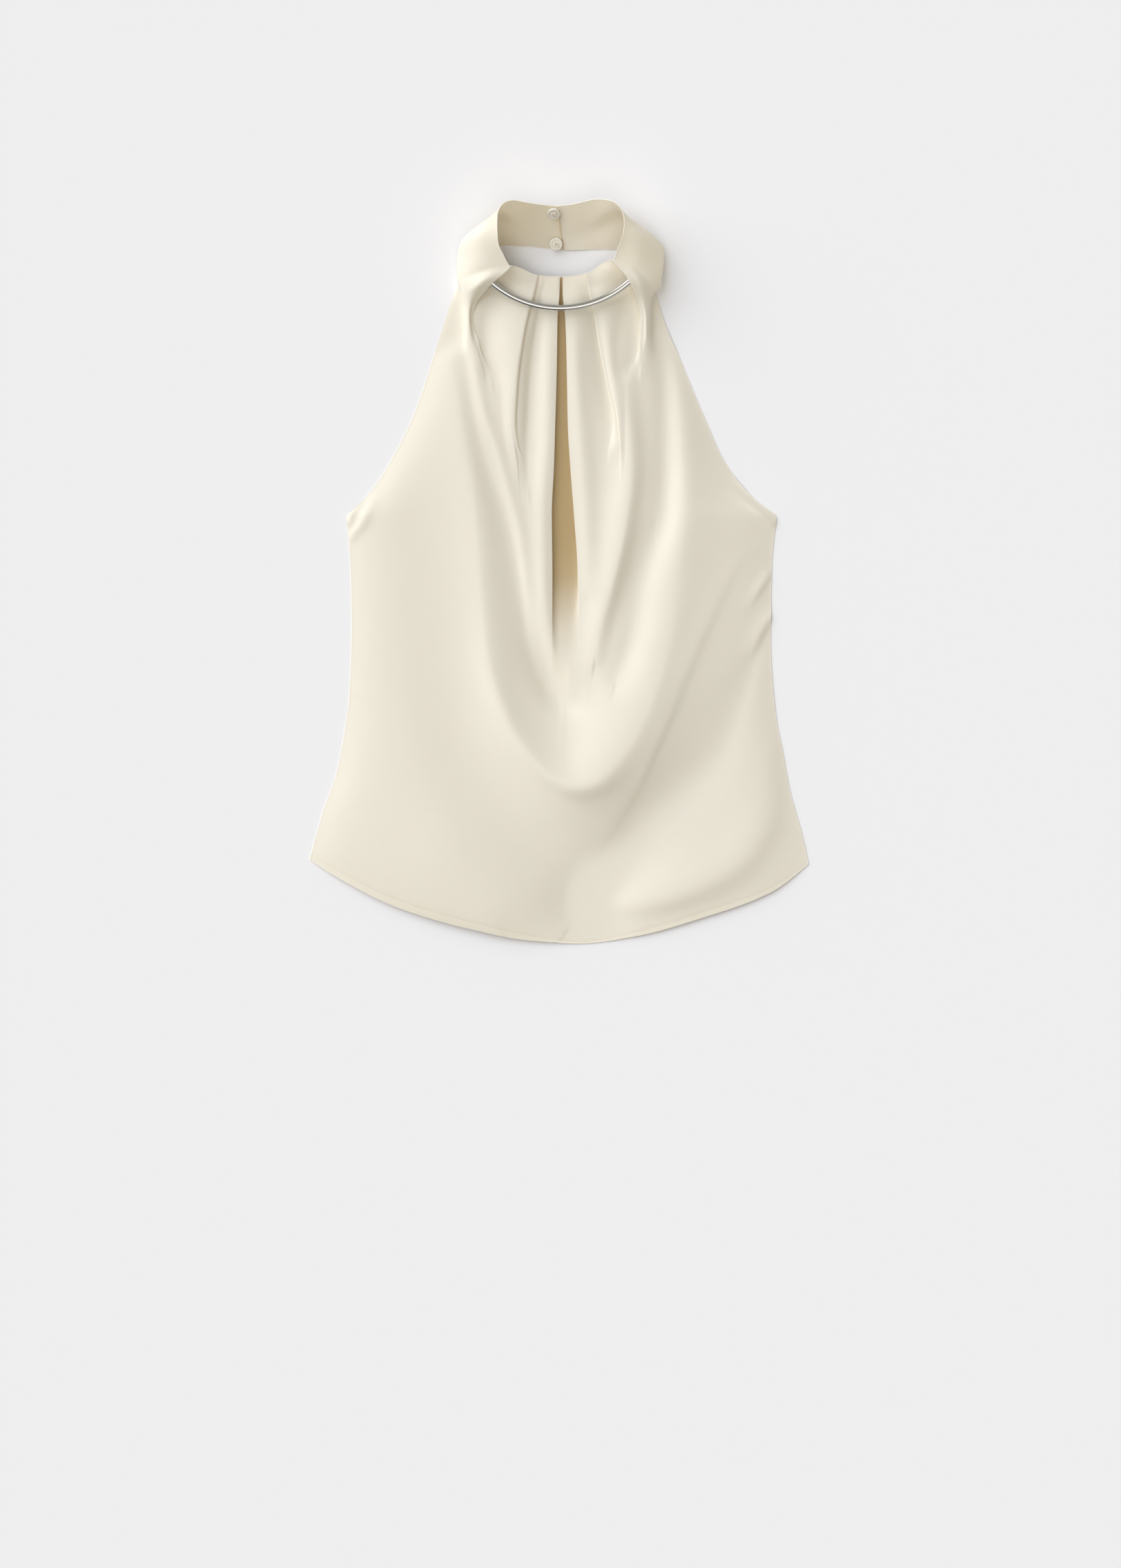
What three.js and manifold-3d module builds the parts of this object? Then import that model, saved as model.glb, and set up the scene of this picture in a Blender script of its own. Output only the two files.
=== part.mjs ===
// Halter neck top laid flat, face up. Millimetres, +X to the right, +Y to the neck, +Z up.
// The origin is on the surface that it lies on, in the middle of its outline.
import * as THREE from 'three';
import Module from 'manifold-3d';

const wasm = await Module();
wasm.setup();

// Driving dimensions
const clothWall = 1.0;
const seamGap = 0.3;
const underarmY = 53.5;
const hemCentreY = -349.7;
const hemHalfWidth = 234.7;
const hemHold = 0.7;
const neckCentreY = 277.6;
const backTopY = 46;
const backInset = 1.2;
const frontRest = clothWall + seamGap + clothWall / 2;
const tableRest = clothWall / 2 + 0.1;
const edgeRoll = 15;
const neckHalfWidth = 46;
const neckSpring = 9;
const springFromY = 268;
const springToY = 287;
const neckCurveFromY = 170;
const stripFromY = 200;
const stripToY = 226;
const grooveUnder = 2.2;
const layerGap = 1.6;
const foldedFrom = 3;
const noseRun = 3;
const noseRound = 1.3;
const barDiameter = 6.2;
const barRadius = 98;
const barCentre = { x: 0.7, y: 345.2 };
const barHalfAngle = 41.6;
const barLowZ = 17.4;
const barSlope = 0.17;
const buttonDiameter = 12.4;
const buttonThickness = 2.4;
const buttonSag = 0.4;
const ivory = 0xece5d6;
const chromeGrey = 0xc9ccd0;
const clearCream = 0xe6e0cc;

// Outline of one layer, from the hem corner up the side seam and along the armhole
const sideLeft = [
  { y: -271, x: -234.7 },
  { y: -222, x: -221 },
  { y: -192, x: -210 },
  { y: -153, x: -202.2 },
  { y: -116, x: -197.3 },
  { y: -46, x: -195 },
  { y: 6, x: -196.3 },
  { y: 53.5, x: -200 },
];
const sideRight = [
  { y: -275, x: 234.7 },
  { y: -249, x: 229 },
  { y: -203, x: 216.5 },
  { y: -170, x: 210.6 },
  { y: -137, x: 204.1 },
  { y: -67, x: 199 },
  { y: 2, x: 199.8 },
  { y: 53.5, x: 204.8 },
];
const armholeLeft = [
  { y: 53.5, x: -200 },
  { y: 72.8, x: -179.4 },
  { y: 106, x: -157.3 },
  { y: 152.8, x: -134.6 },
  { y: 211.9, x: -115.1 },
  { y: 245.7, x: -105.5 },
  { y: 275.6, x: -93.6 },
];
const armholeRight = [
  { y: 53.5, x: 204.8 },
  { y: 69.6, x: 182.7 },
  { y: 103.4, x: 156 },
  { y: 137.8, x: 139.8 },
  { y: 207.4, x: 111.2 },
  { y: 252.2, x: 94.5 },
  { y: 271, x: 89.1 },
];
// How far the hem rises above its lowest point, by the share of the half width
const hemRise = [
  { u: -1, rise: 78.7 },
  { u: -0.88, rise: 61 },
  { u: -0.66, rise: 35.1 },
  { u: -0.39, rise: 15.6 },
  { u: -0.12, rise: 3 },
  { u: 0.08, rise: 0 },
  { u: 0.31, rise: 7.1 },
  { u: 0.58, rise: 24.7 },
  { u: 0.84, rise: 47.2 },
  { u: 1, rise: 74.7 },
];
// How far the neckline rises above its lowest point
const neckRise = [
  { x: -96, rise: -3 },
  { x: -75, rise: 4 },
  { x: -43.6, rise: 9.7 },
  { x: -20, rise: 1.3 },
  { x: 2, rise: 0 },
  { x: 24.7, rise: 2.6 },
  { x: 48.1, rise: 14.9 },
  { x: 72, rise: 7 },
  { x: 92, rise: -8 },
];
// Height of the cloth's middle along the body, clear of folds
const restHeight = [
  { y: -350, z: 3.2 },
  { y: -250, z: 4.5 },
  { y: -100, z: 6 },
  { y: 50, z: 7 },
  { y: 150, z: 8 },
  { y: 205, z: 8.5 },
  { y: 240, z: 9.5 },
  { y: 262, z: 12 },
  { y: 278, z: 16.5 },
];

// Soft ridges (positive h) and troughs (negative h): a path, with the height there, and a
// half width on the left and right of the path as it runs down the body
const creases = [
  { name: 'large U fold', left: 24, right: 15, path: [
    { x: 101, y: 196, h: 2 },
    { x: 108, y: 160, h: 8 },
    { x: 113, y: 84, h: 11 },
    { x: 112, y: 12, h: 12 },
    { x: 102, y: -40, h: 13 },
    { x: 91, y: -95, h: 13 },
    { x: 72, y: -155, h: 12 },
    { x: 42, y: -195, h: 11 },
    { x: 12, y: -204, h: 10 },
    { x: -14, y: -192, h: 9 },
    { x: -40, y: -163, h: 8 },
    { x: -64, y: -90, h: 8 },
    { x: -82, y: 6, h: 7 },
    { x: -90, y: 90, h: 6 },
    { x: -101, y: 165, h: 1 },
  ] },
  { name: 'left inner fold', left: 9, right: 9, path: [
    { x: -79, y: 192, h: 3 },
    { x: -70, y: 150, h: 6 },
    { x: -48, y: 83, h: 6 },
    { x: -34.5, y: 6, h: 6 },
    { x: -25, y: -64, h: 5 },
    { x: -10, y: -106, h: 2 },
  ] },
  { name: 'left trough', left: 9, right: 9, path: [
    { x: -87, y: 181, h: -3 },
    { x: -82, y: 136, h: -5 },
    { x: -76, y: 58, h: -6 },
    { x: -57, y: -46, h: -6 },
    { x: -36, y: -112, h: -6 },
    { x: -10, y: -131, h: -3 },
  ] },
  { name: 'right inner fold', left: 5, right: 15, path: [
    { x: 79, y: 192, h: 4 },
    { x: 74, y: 148, h: 8 },
    { x: 73, y: 48, h: 8 },
    { x: 64, y: 6, h: 6 },
    { x: 50, y: -38, h: 4 },
    { x: 38, y: -75, h: 1 },
  ] },
  { name: 'right trough', left: 9, right: 8, path: [
    { x: 91, y: 200, h: -3 },
    { x: 88, y: 149, h: -6 },
    { x: 86, y: 58, h: -6 },
    { x: 74, y: 0, h: -5 },
    { x: 57, y: -46, h: -4 },
    { x: 45, y: -92, h: -2 },
  ] },
  { name: 'left inner panel crown', left: 8, right: 8, path: [
    { x: -15, y: 170, h: 1.5 },
    { x: -20, y: 58, h: 3.5 },
    { x: -15, y: -46, h: 4 },
    { x: -4, y: -94, h: 1 },
  ] },
  { name: 'right side crease', left: 14, right: 8, path: [
    { x: 186, y: 20, h: -1.5 },
    { x: 158, y: -13, h: -3.5 },
    { x: 131, y: -72, h: -5 },
    { x: 103, y: -140, h: -6 },
    { x: 77, y: -198, h: -6 },
    { x: 38, y: -259, h: -3 },
  ] },
  { name: 'right second trough', left: 12, right: 12, path: [
    { x: 195, y: -60, h: -3.5 },
    { x: 175, y: -103, h: -4 },
    { x: 155, y: -159, h: -3.5 },
    { x: 122, y: -201, h: -2 },
  ] },
  { name: 'right low ridge', left: 20, right: 20, path: [
    { x: 190, y: -111, h: 4 },
    { x: 172, y: -201, h: 6 },
    { x: 112, y: -270, h: 7 },
    { x: 42, y: -305, h: 4 },
  ] },
  { name: 'left broad trough', left: 20, right: 16, path: [
    { x: -140, y: 95, h: -2 },
    { x: -120, y: -60, h: -3 },
    { x: -100, y: -200, h: -3.5 },
    { x: -50, y: -310, h: -2 },
  ] },
  { name: 'left broad ridge', left: 20, right: 24, path: [
    { x: -162, y: 30, h: 2 },
    { x: -156, y: -120, h: 4 },
    { x: -132, y: -260, h: 4.5 },
    { x: -97, y: -310, h: 2 },
  ] },
  { name: 'left recess', left: 9, right: 13, path: [
    { x: -50, y: 276, h: -2 },
    { x: -64, y: 262, h: -6 },
    { x: -70, y: 242, h: -7 },
    { x: -68, y: 220, h: -5 },
    { x: -62, y: 195, h: -1 },
  ] },
  { name: 'right recess', left: 13, right: 9, path: [
    { x: 54, y: 278, h: -2 },
    { x: 63, y: 262, h: -5 },
    { x: 67, y: 242, h: -5 },
    { x: 70, y: 222, h: -3 },
    { x: 68, y: 200, h: -1 },
  ] },
];

// Strip between the armhole edge and the fold that turns over the bar's end. Each row is a
// height on the body; x and z of the edge, the foot and shoulder of the rise, its crest
// and the nose where the cloth turns under.
const stripLeft = [
  { y: 205, edgeX: -117, edgeZ: 1.4, footX: -89.5, footZ: 4.2, shoulderX: -85.5, shoulderZ: 9,
    crestX: -80, crestZ: 11.5, noseX: -71.5, noseZ: 10 },
  { y: 225, edgeX: -111.5, edgeZ: 1.2, footX: -90, footZ: 3.6, shoulderX: -87, shoulderZ: 9,
    crestX: -83.5, crestZ: 12, noseX: -78.7, noseZ: 10.5 },
  { y: 240, edgeX: -107, edgeZ: 1, footX: -90, footZ: 3.2, shoulderX: -87.3, shoulderZ: 9.5,
    crestX: -84.5, crestZ: 13.5, noseX: -81, noseZ: 12 },
  { y: 251, edgeX: -103.5, edgeZ: 0.9, footX: -90.5, footZ: 3, shoulderX: -88.3, shoulderZ: 10,
    crestX: -83.5, crestZ: 16.5, noseX: -77.5, noseZ: 16 },
  { y: 258, edgeX: -101, edgeZ: 0.8, footX: -91.5, footZ: 3.5, shoulderX: -89.5, shoulderZ: 11,
    crestX: -81, crestZ: 21.5, noseX: -70.5, noseZ: 22.8 },
  { y: 265, edgeX: -98.3, edgeZ: 0.7, footX: -92.5, footZ: 4.5, shoulderX: -90.5, shoulderZ: 13,
    crestX: -77, crestZ: 26, noseX: -62, noseZ: 28 },
  { y: 271, edgeX: -96, edgeZ: 0.6, footX: -94.5, footZ: 6, shoulderX: -90, shoulderZ: 16,
    crestX: -71, crestZ: 28.5, noseX: -51, noseZ: 29.4 },
  { y: 277.6, edgeX: -93.6, edgeZ: 0.6, footX: -96, footZ: 9, shoulderX: -88, shoulderZ: 18,
    crestX: -67, crestZ: 28, noseX: -43.6, noseZ: 30 },
];
const stripRight = [
  { y: 205, edgeX: 112.5, edgeZ: 1.4, footX: 91, footZ: 3.8, shoulderX: 84, shoulderZ: 9,
    crestX: 80, crestZ: 12, noseX: 74, noseZ: 11 },
  { y: 225, edgeX: 104.5, edgeZ: 1.2, footX: 89, footZ: 3.4, shoulderX: 84.5, shoulderZ: 9,
    crestX: 81.5, crestZ: 13, noseX: 77.5, noseZ: 12 },
  { y: 240, edgeX: 99.5, edgeZ: 1, footX: 88, footZ: 3.2, shoulderX: 85.3, shoulderZ: 10,
    crestX: 81.5, crestZ: 14.5, noseX: 76.5, noseZ: 13 },
  { y: 251, edgeX: 96.3, edgeZ: 0.9, footX: 87.5, footZ: 3.2, shoulderX: 85.3, shoulderZ: 11,
    crestX: 79.5, crestZ: 17, noseX: 73, noseZ: 16.5 },
  { y: 258, edgeX: 94.3, edgeZ: 0.8, footX: 88, footZ: 4, shoulderX: 86, shoulderZ: 12,
    crestX: 79, crestZ: 21.5, noseX: 69.3, noseZ: 23.3 },
  { y: 265, edgeX: 92.3, edgeZ: 0.7, footX: 88.5, footZ: 5, shoulderX: 87, shoulderZ: 14,
    crestX: 78, crestZ: 26.7, noseX: 65, noseZ: 28.8 },
  { y: 271, edgeX: 90.5, edgeZ: 0.6, footX: 91.5, footZ: 6.5, shoulderX: 88.5, shoulderZ: 16,
    crestX: 75, crestZ: 28.5, noseX: 57.5, noseZ: 29.6 },
  { y: 277.6, edgeX: 89.1, edgeZ: 0.6, footX: 97.5, footZ: 9, shoulderX: 90, shoulderZ: 18,
    crestX: 70, crestZ: 28, noseX: 48.1, noseZ: 30 },
];

// Lines that the mesh follows down the body, by height: foot and nose of the strip, edge of
// the knife pleat and edge of the groove
const linesLeft = [
  { y: -350, foot: -130, nose: -80, pleat: -42, groove: -8 },
  { y: -200, foot: -112, nose: -66, pleat: -36, groove: -7 },
  { y: -50, foot: -84, nose: -56, pleat: -29, groove: -6.5 },
  { y: 0, foot: -80, nose: -56, pleat: -31, groove: -6.5 },
  { y: 55, foot: -80, nose: -57, pleat: -33, groove: -7 },
  { y: 100, foot: -81, nose: -59, pleat: -35.5, groove: -5 },
  { y: 140, foot: -83, nose: -64, pleat: -41, groove: -3.8 },
  { y: 180, foot: -87, nose: -67, pleat: -39, groove: -2.6 },
  { y: 215, foot: -90, nose: -75.5, pleat: -34, groove: -2 },
  { y: 240, foot: -90, nose: -81, pleat: -29, groove: -1.6 },
  { y: 251, foot: -90.5, nose: -77.5, pleat: -26, groove: -0.6 },
  { y: 258, foot: -91.5, nose: -70.5, pleat: -24, groove: 0 },
  { y: 265, foot: -92.5, nose: -62, pleat: -22.3, groove: 0.3 },
  { y: 271, foot: -94.5, nose: -51, pleat: -21, groove: 0.5 },
  { y: 277.6, foot: -96, nose: -43.6, pleat: -19.8, groove: 0.7 },
];
const linesRight = [
  { y: -350, foot: 130, nose: 80, pleat: 42, groove: 8 },
  { y: -200, foot: 116, nose: 74, pleat: 44, groove: 10 },
  { y: -50, foot: 98, nose: 66, pleat: 49, groove: 18 },
  { y: 0, foot: 92, nose: 67, pleat: 50, groove: 17.5 },
  { y: 55, foot: 90, nose: 71, pleat: 52, groove: 14 },
  { y: 100, foot: 89, nose: 72, pleat: 54.5, groove: 10.5 },
  { y: 140, foot: 89, nose: 72.5, pleat: 52, groove: 8.2 },
  { y: 180, foot: 90, nose: 73, pleat: 43.9, groove: 7.5 },
  { y: 215, foot: 90, nose: 75.5, pleat: 36.5, groove: 6.8 },
  { y: 240, foot: 88, nose: 76.5, pleat: 32.5, groove: 5.7 },
  { y: 251, foot: 87.5, nose: 73, pleat: 30, groove: 4.6 },
  { y: 258, foot: 88, nose: 69.3, pleat: 28.4, groove: 3.6 },
  { y: 265, foot: 88.5, nose: 65, pleat: 27, groove: 3.4 },
  { y: 271, foot: 91.5, nose: 57.5, pleat: 25.8, groove: 3.3 },
  { y: 277.6, foot: 97.5, nose: 48.1, pleat: 24.6, groove: 3.3 },
];

// Pleats: depth that is turned under (negative where it has opened out) and the step that it
// makes, by height on the body
const knee = [
  { y: -350, under: -14, step: 0 },
  { y: -50, under: -9, step: 0 },
  { y: 175, under: -8, step: 0 },
  { y: 190, under: -5, step: 2 },
  { y: 205, under: 0, step: 4 },
  { y: 225, under: 3, step: 5.5 },
  { y: 240, under: 3.5, step: 7 },
  { y: 251, under: 5, step: 8 },
  { y: 258, under: 9, step: 8 },
  { y: 265, under: 14, step: 8 },
  { y: 271, under: 18, step: 8 },
  { y: 277.6, under: 14, step: 8 },
];
const knifeLeft = [
  { y: -350, under: -14, step: 0 },
  { y: 60, under: -9, step: 0 },
  { y: 85, under: -7, step: 1.2 },
  { y: 110, under: -2.5, step: 2.6 },
  { y: 130, under: 2, step: 3.2 },
  { y: 165, under: 6, step: 3.6 },
  { y: 277.6, under: 9, step: 3.6 },
];
const knifeRight = [
  { y: -350, under: -14, step: 0 },
  { y: 85, under: -9, step: 0 },
  { y: 110, under: -7, step: 1.2 },
  { y: 130, under: -2.5, step: 2.6 },
  { y: 150, under: 2, step: 3.2 },
  { y: 180, under: 6, step: 3.6 },
  { y: 277.6, under: 9, step: 3.6 },
];
// Centre pleat: how much of its depth is left, and the height of its floor
const groove = [
  { y: -350, open: 0, floor: 2 },
  { y: -105, open: 0, floor: 2 },
  { y: -75, open: 0.25, floor: 2 },
  { y: -40, open: 0.75, floor: 2 },
  { y: -10, open: 1, floor: 2 },
  { y: 205, open: 1, floor: 2.2 },
  { y: 240, open: 1, floor: 4 },
  { y: 262, open: 1, floor: 8 },
  { y: 277.6, open: 1, floor: 13 },
];

// Collar half: stations from the front round the neck to the centre back. Each has the
// lower edge, the outermost turn, a point on the face and the top edge.
const collarLeft = [
  { low: [-93.6, 275.6, 0.6], turn: [-96, 279, 9], face: [-67, 285, 27], top: [-43.6, 287.3, 30] },
  { low: [-89, 282, 0.6], turn: [-96, 290, 10], face: [-75, 294, 29], top: [-52, 297.5, 34] },
  { low: [-82, 290, 0.6], turn: [-95, 301, 11], face: [-78, 306, 31], top: [-57, 307, 38] },
  { low: [-74, 297, 0.6], turn: [-92, 310, 12], face: [-77, 316, 33], top: [-58, 317, 41] },
  { low: [-65, 303, 0.6], turn: [-83, 319, 13], face: [-72, 325, 33], top: [-58.3, 327, 42] },
  { low: [-56.5, 306.5, 0.6], turn: [-70, 327, 14], face: [-65, 333, 33], top: [-57.5, 337, 42] },
  { low: [-47, 307.5, 0.6], turn: [-56, 331, 14], face: [-56, 339, 31], top: [-53, 345, 40] },
  { low: [-38, 307, 0.6], turn: [-42, 325, 10], face: [-44, 338, 24], top: [-44, 348.6, 35] },
  { low: [-28, 306.8, 0.6], turn: [-30, 320, 6], face: [-31, 334, 16.5], top: [-32, 347, 30] },
  { low: [-16, 305.5, 0.6], turn: [-17, 317, 4.5], face: [-17.5, 331, 12.8], top: [-18, 345, 25.5] },
  { low: [-4, 303.6, 0.6], turn: [-4.5, 315, 4], face: [-4.5, 329, 11.5], top: [-4.5, 343.6, 23] },
  { low: [8, 303.2, 0.6], turn: [8, 314.5, 4], face: [8, 328.5, 11.5], top: [8, 343.2, 23] },
];
const collarRight = [
  { low: [89.1, 271, 0.6], turn: [97.5, 283, 9], face: [70, 287, 27], top: [48.1, 292.5, 30] },
  { low: [86.5, 280, 0.6], turn: [99.5, 296, 10], face: [77, 296, 29], top: [53.5, 300, 34] },
  { low: [80, 289, 0.6], turn: [98, 305.5, 11], face: [79, 306, 31], top: [58, 309, 38] },
  { low: [72, 296, 0.6], turn: [92, 312.5, 12], face: [78, 316, 33], top: [60.5, 318, 41] },
  { low: [64, 300.5, 0.6], turn: [82, 321, 13], face: [73, 324, 33], top: [61.2, 327, 42] },
  { low: [55, 303.2, 0.6], turn: [71, 328, 14], face: [66, 332, 33], top: [60, 336.5, 42] },
  { low: [46, 304, 0.8], turn: [57, 332, 15], face: [57.5, 340, 32], top: [55.5, 343.8, 40.5] },
  { low: [37, 304.2, 1], turn: [43, 327, 11], face: [46, 339, 27], top: [47, 348.4, 38] },
  { low: [28, 304.2, 1.6], turn: [31, 321, 7.5], face: [33, 335, 19.5], top: [34, 349.6, 32.5] },
  { low: [19, 303.8, 2], turn: [20, 318, 6.2], face: [20.5, 331.5, 15.3], top: [21, 347, 28] },
  { low: [11, 303.6, 2.1], turn: [11, 315.5, 5.8], face: [11, 329, 13.6], top: [10.5, 344.8, 25.6] },
  { low: [5, 303.8, 2.1], turn: [3.6, 315, 5.7], face: [1.7, 328.5, 13.5], top: [0.7, 344, 25.3] },
];

// Counts along and across the mesh
const bodyRows = 34;
const collarRows = 16;
const sideCells = 7;
const stripCells = 4;
const crownCells = 3;
const innerCells = 2;

// Smooth value at t between the rows of a table, by a cubic through them
function tableAt(rows, key, name, t) {
  const last = rows.length - 1;
  if (t <= rows[0][key]) {
    return rows[0][name];
  }
  if (t >= rows[last][key]) {
    return rows[last][name];
  }
  let i = 0;
  while (t > rows[i + 1][key]) {
    i += 1;
  }
  const slope = (k) => {
    if (k === 0 || k === last) {
      return 0;
    }
    const before = (rows[k][name] - rows[k - 1][name]) / (rows[k][key] - rows[k - 1][key]);
    const after = (rows[k + 1][name] - rows[k][name]) / (rows[k + 1][key] - rows[k][key]);
    return before * after <= 0 ? 0 : (2 * before * after) / (before + after);
  };
  const endSlope = (k, other) => {
    const chord = (rows[i + 1][name] - rows[i][name]) / (rows[i + 1][key] - rows[i][key]);
    return k === 0 || k === last ? 1.5 * chord - 0.5 * slope(other) : slope(k);
  };
  const width = rows[i + 1][key] - rows[i][key];
  const f = (t - rows[i][key]) / width;
  const m0 = endSlope(i, i + 1) * width;
  const m1 = endSlope(i + 1, i) * width;
  const a = rows[i][name];
  const b = rows[i + 1][name];
  const f2 = f * f;
  const f3 = f2 * f;
  return (2 * f3 - 3 * f2 + 1) * a + (f3 - 2 * f2 + f) * m0 + (3 * f2 - 2 * f3) * b + (f3 - f2) * m1;
}

const mix = (a, b, f) => a + (b - a) * f;
const smooth = (a, b, t) => THREE.MathUtils.smoothstep(t, a, b);
const outlineX = (side, armhole, y) => (
  y <= underarmY ? tableAt(side, 'y', 'x', y) : tableAt(armhole, 'y', 'x', y));

// A crease's path as a dense curve, so that its ridge bends smoothly
const creaseCurves = creases.map((crease) => {
  const spline = new THREE.CatmullRomCurve3(
    crease.path.map((p) => new THREE.Vector3(p.x, p.y, p.h)), false, 'centripetal');
  return { ...crease, points: spline.getPoints(crease.path.length * 5) };
});

function creaseHeight(crease, x, y) {
  let best = Infinity;
  let height = 0;
  let side = 1;
  for (let i = 0; i + 1 < crease.points.length; i += 1) {
    const a = crease.points[i];
    const b = crease.points[i + 1];
    const dx = b.x - a.x;
    const dy = b.y - a.y;
    const f = THREE.MathUtils.clamp(((x - a.x) * dx + (y - a.y) * dy) / (dx * dx + dy * dy), 0, 1);
    const gap = Math.hypot(x - a.x - f * dx, y - a.y - f * dy);
    if (gap < best) {
      best = gap;
      height = mix(a.z, b.z, f);
      side = Math.sign(dx * (y - a.y) - dy * (x - a.x)) || 1;
    }
  }
  const width = side > 0 ? crease.right : crease.left;
  return height * Math.exp(-((best / width) ** 2));
}

// Height of the front's middle surface at a point, with its edges rolled down to the rest
function frontHeight(x, y) {
  const sideGap = Math.max(0, Math.min(
    x - outlineX(sideLeft, armholeLeft, y), outlineX(sideRight, armholeRight, y) - x));
  const hemGap = Math.max(0, y - hemCentreY - tableAt(hemRise, 'u', 'rise', x / hemHalfWidth));
  const rest = mix(frontRest, tableRest, smooth(underarmY, underarmY + 40, y));
  const rise = creaseCurves.reduce((sum, crease) => sum + creaseHeight(crease, x, y), 0);
  const spring = neckSpring * Math.min(1, ((x - 2) / neckHalfWidth) ** 2)
    * smooth(springFromY, springToY, y);
  const lift = tableAt(restHeight, 'y', 'z', y) + rise + spring - rest;
  const held = (1 - Math.exp(-((sideGap / edgeRoll) ** 2)))
    * (1 - hemHold * Math.exp(-hemGap / edgeRoll));
  return rest + Math.max(0.2, lift * held);
}

// Seven points across a pleat's edge: over the nose, back under it, and out again below.
// share is how much of each point's height comes from the upper layer, and tucked says that
// the point lies close under that layer.
function pleatPoints(edge, under, step, towards) {
  const folded = under >= foldedFrom;
  const back = folded ? 1 : under / 3;
  const lowBack = folded ? under - 1 : (2 * under) / 3;
  const middle = Math.max(0.5, 1 - layerGap / Math.max(step, 0.1));
  return [
    { x: edge - towards * noseRun, share: 1 },
    { x: edge - towards * noseRound, share: 1 },
    { x: edge, share: (1 + middle) / 2 },
    { x: edge - towards * back, share: 0.62, tucked: folded },
    { x: edge - towards * lowBack, share: 0.38, tucked: folded },
    { x: edge - towards * under, share: middle / 2 },
    { x: edge - towards * (under - noseRound), share: 0 },
  ];
}

// Height close under a layer at x, from the row of points across that layer
function closeUnder(layer, x) {
  for (let k = layer.length - 2; k > 0; k -= 1) {
    if ((x - layer[k].x) * (x - layer[k + 1].x) <= 0) {
      const slope = (layer[k + 1].z - layer[k].z) / (layer[k + 1].x - layer[k].x);
      return layer[k].z + slope * (x - layer[k].x) - layerGap * Math.hypot(1, slope);
    }
  }
  return layer[layer.length - 1].z - layerGap;
}

// Even points along a smooth line through the given ones, including both ends
function spread(points, count) {
  const line = new THREE.CatmullRomCurve3(
    points.map((p) => new THREE.Vector3(...p)), false, 'centripetal');
  return line.getSpacedPoints(count);
}

// One row of half of the front, from its side edge to the groove
function halfRow(row, kit) {
  const { side, armhole, lines, knife, strip, towards } = kit;
  const at = (name) => tableAt(lines, 'y', name, row);
  const sag = Math.max(0, (underarmY - row) / (underarmY - hemCentreY));
  const neck = smooth(neckCurveFromY, neckCentreY, row);
  const edgeY = row + tableAt(hemRise, 'u', 'rise', -towards) * sag;
  const armX = outlineX(side, armhole, row > underarmY ? row + neck * kit.edgeDrop : edgeY);
  const placeY = (x) => row
    + tableAt(hemRise, 'u', 'rise', THREE.MathUtils.clamp(x / Math.abs(armX), -1, 1)) * sag
    + tableAt(neckRise, 'x', 'rise', x) * neck;
  const onCloth = (x, extra = 0) => {
    const y = placeY(x);
    return new THREE.Vector3(x, y, frontHeight(x, y) + extra);
  };

  const outer = [];
  const stripShare = smooth(stripFromY, stripToY, row);
  const kneeStep = tableAt(knee, 'y', 'step', row);
  for (let i = 0; i <= sideCells + stripCells; i += 1) {
    const plain = i <= sideCells
      ? mix(armX, at('foot'), (i / sideCells) ** 0.9)
      : mix(at('foot'), at('nose') - towards * noseRun, (i - sideCells) / stripCells);
    outer.push(onCloth(plain, kneeStep * smooth(sideCells - 1, sideCells + stripCells, i)));
  }
  if (stripShare > 0) {
    const s = (name) => tableAt(strip, 'y', name, row);
    const points = ['edge', 'foot', 'shoulder', 'crest', 'nose'].map((name) => {
      const x = s(`${name}X`) - (name === 'nose' ? towards * noseRun : 0);
      return [x, placeY(x), s(`${name}Z`)];
    });
    const round = spread(points, outer.length - 1);
    outer.forEach((p, i) => p.lerp(round[i], stripShare));
  }

  const pleat = (edge, table, step, layer) => {
    const top = onCloth(edge, step).z;
    const places = pleatPoints(edge, tableAt(table, 'y', 'under', row), step, towards);
    const points = [];
    places.forEach((p) => {
      const point = onCloth(p.x);
      point.z = mix(point.z, top, p.share);
      if (p.tucked) {
        point.z = closeUnder([...layer, points[0], points[1]], p.x);
      }
      points.push(point);
    });
    points[5].z = Math.min(points[5].z, mix(points[4].z, points[6].z, 0.5));
    return points;
  };
  const knifeStep = tableAt(knife, 'y', 'step', row);
  const stripStep = tableAt(strip, 'y', 'noseZ', row) - onCloth(at('nose')).z;
  const kneeGroup = pleat(at('nose'), knee, mix(kneeStep, stripStep, stripShare), outer);
  const run = (a, b, count, lift) => {
    const points = [];
    for (let i = 1; i < count; i += 1) {
      points.push(onCloth(mix(a.x, b.x, i / count), lift(i / count)));
    }
    return points;
  };
  const pleatStart = { x: at('pleat') - towards * noseRun };
  const outerPanel = run(kneeGroup[6], pleatStart, crownCells + 1, (f) => knifeStep * smooth(0, 1, f));
  const knifeGroup = pleat(at('pleat'), knife, knifeStep, outerPanel);
  const rim = onCloth(at('groove'));
  const innerPanel = run(knifeGroup[6], rim, innerCells + 1, () => 0);
  return [...outer, ...kneeGroup.slice(1), ...outerPanel, ...knifeGroup, ...innerPanel, rim];
}

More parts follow.
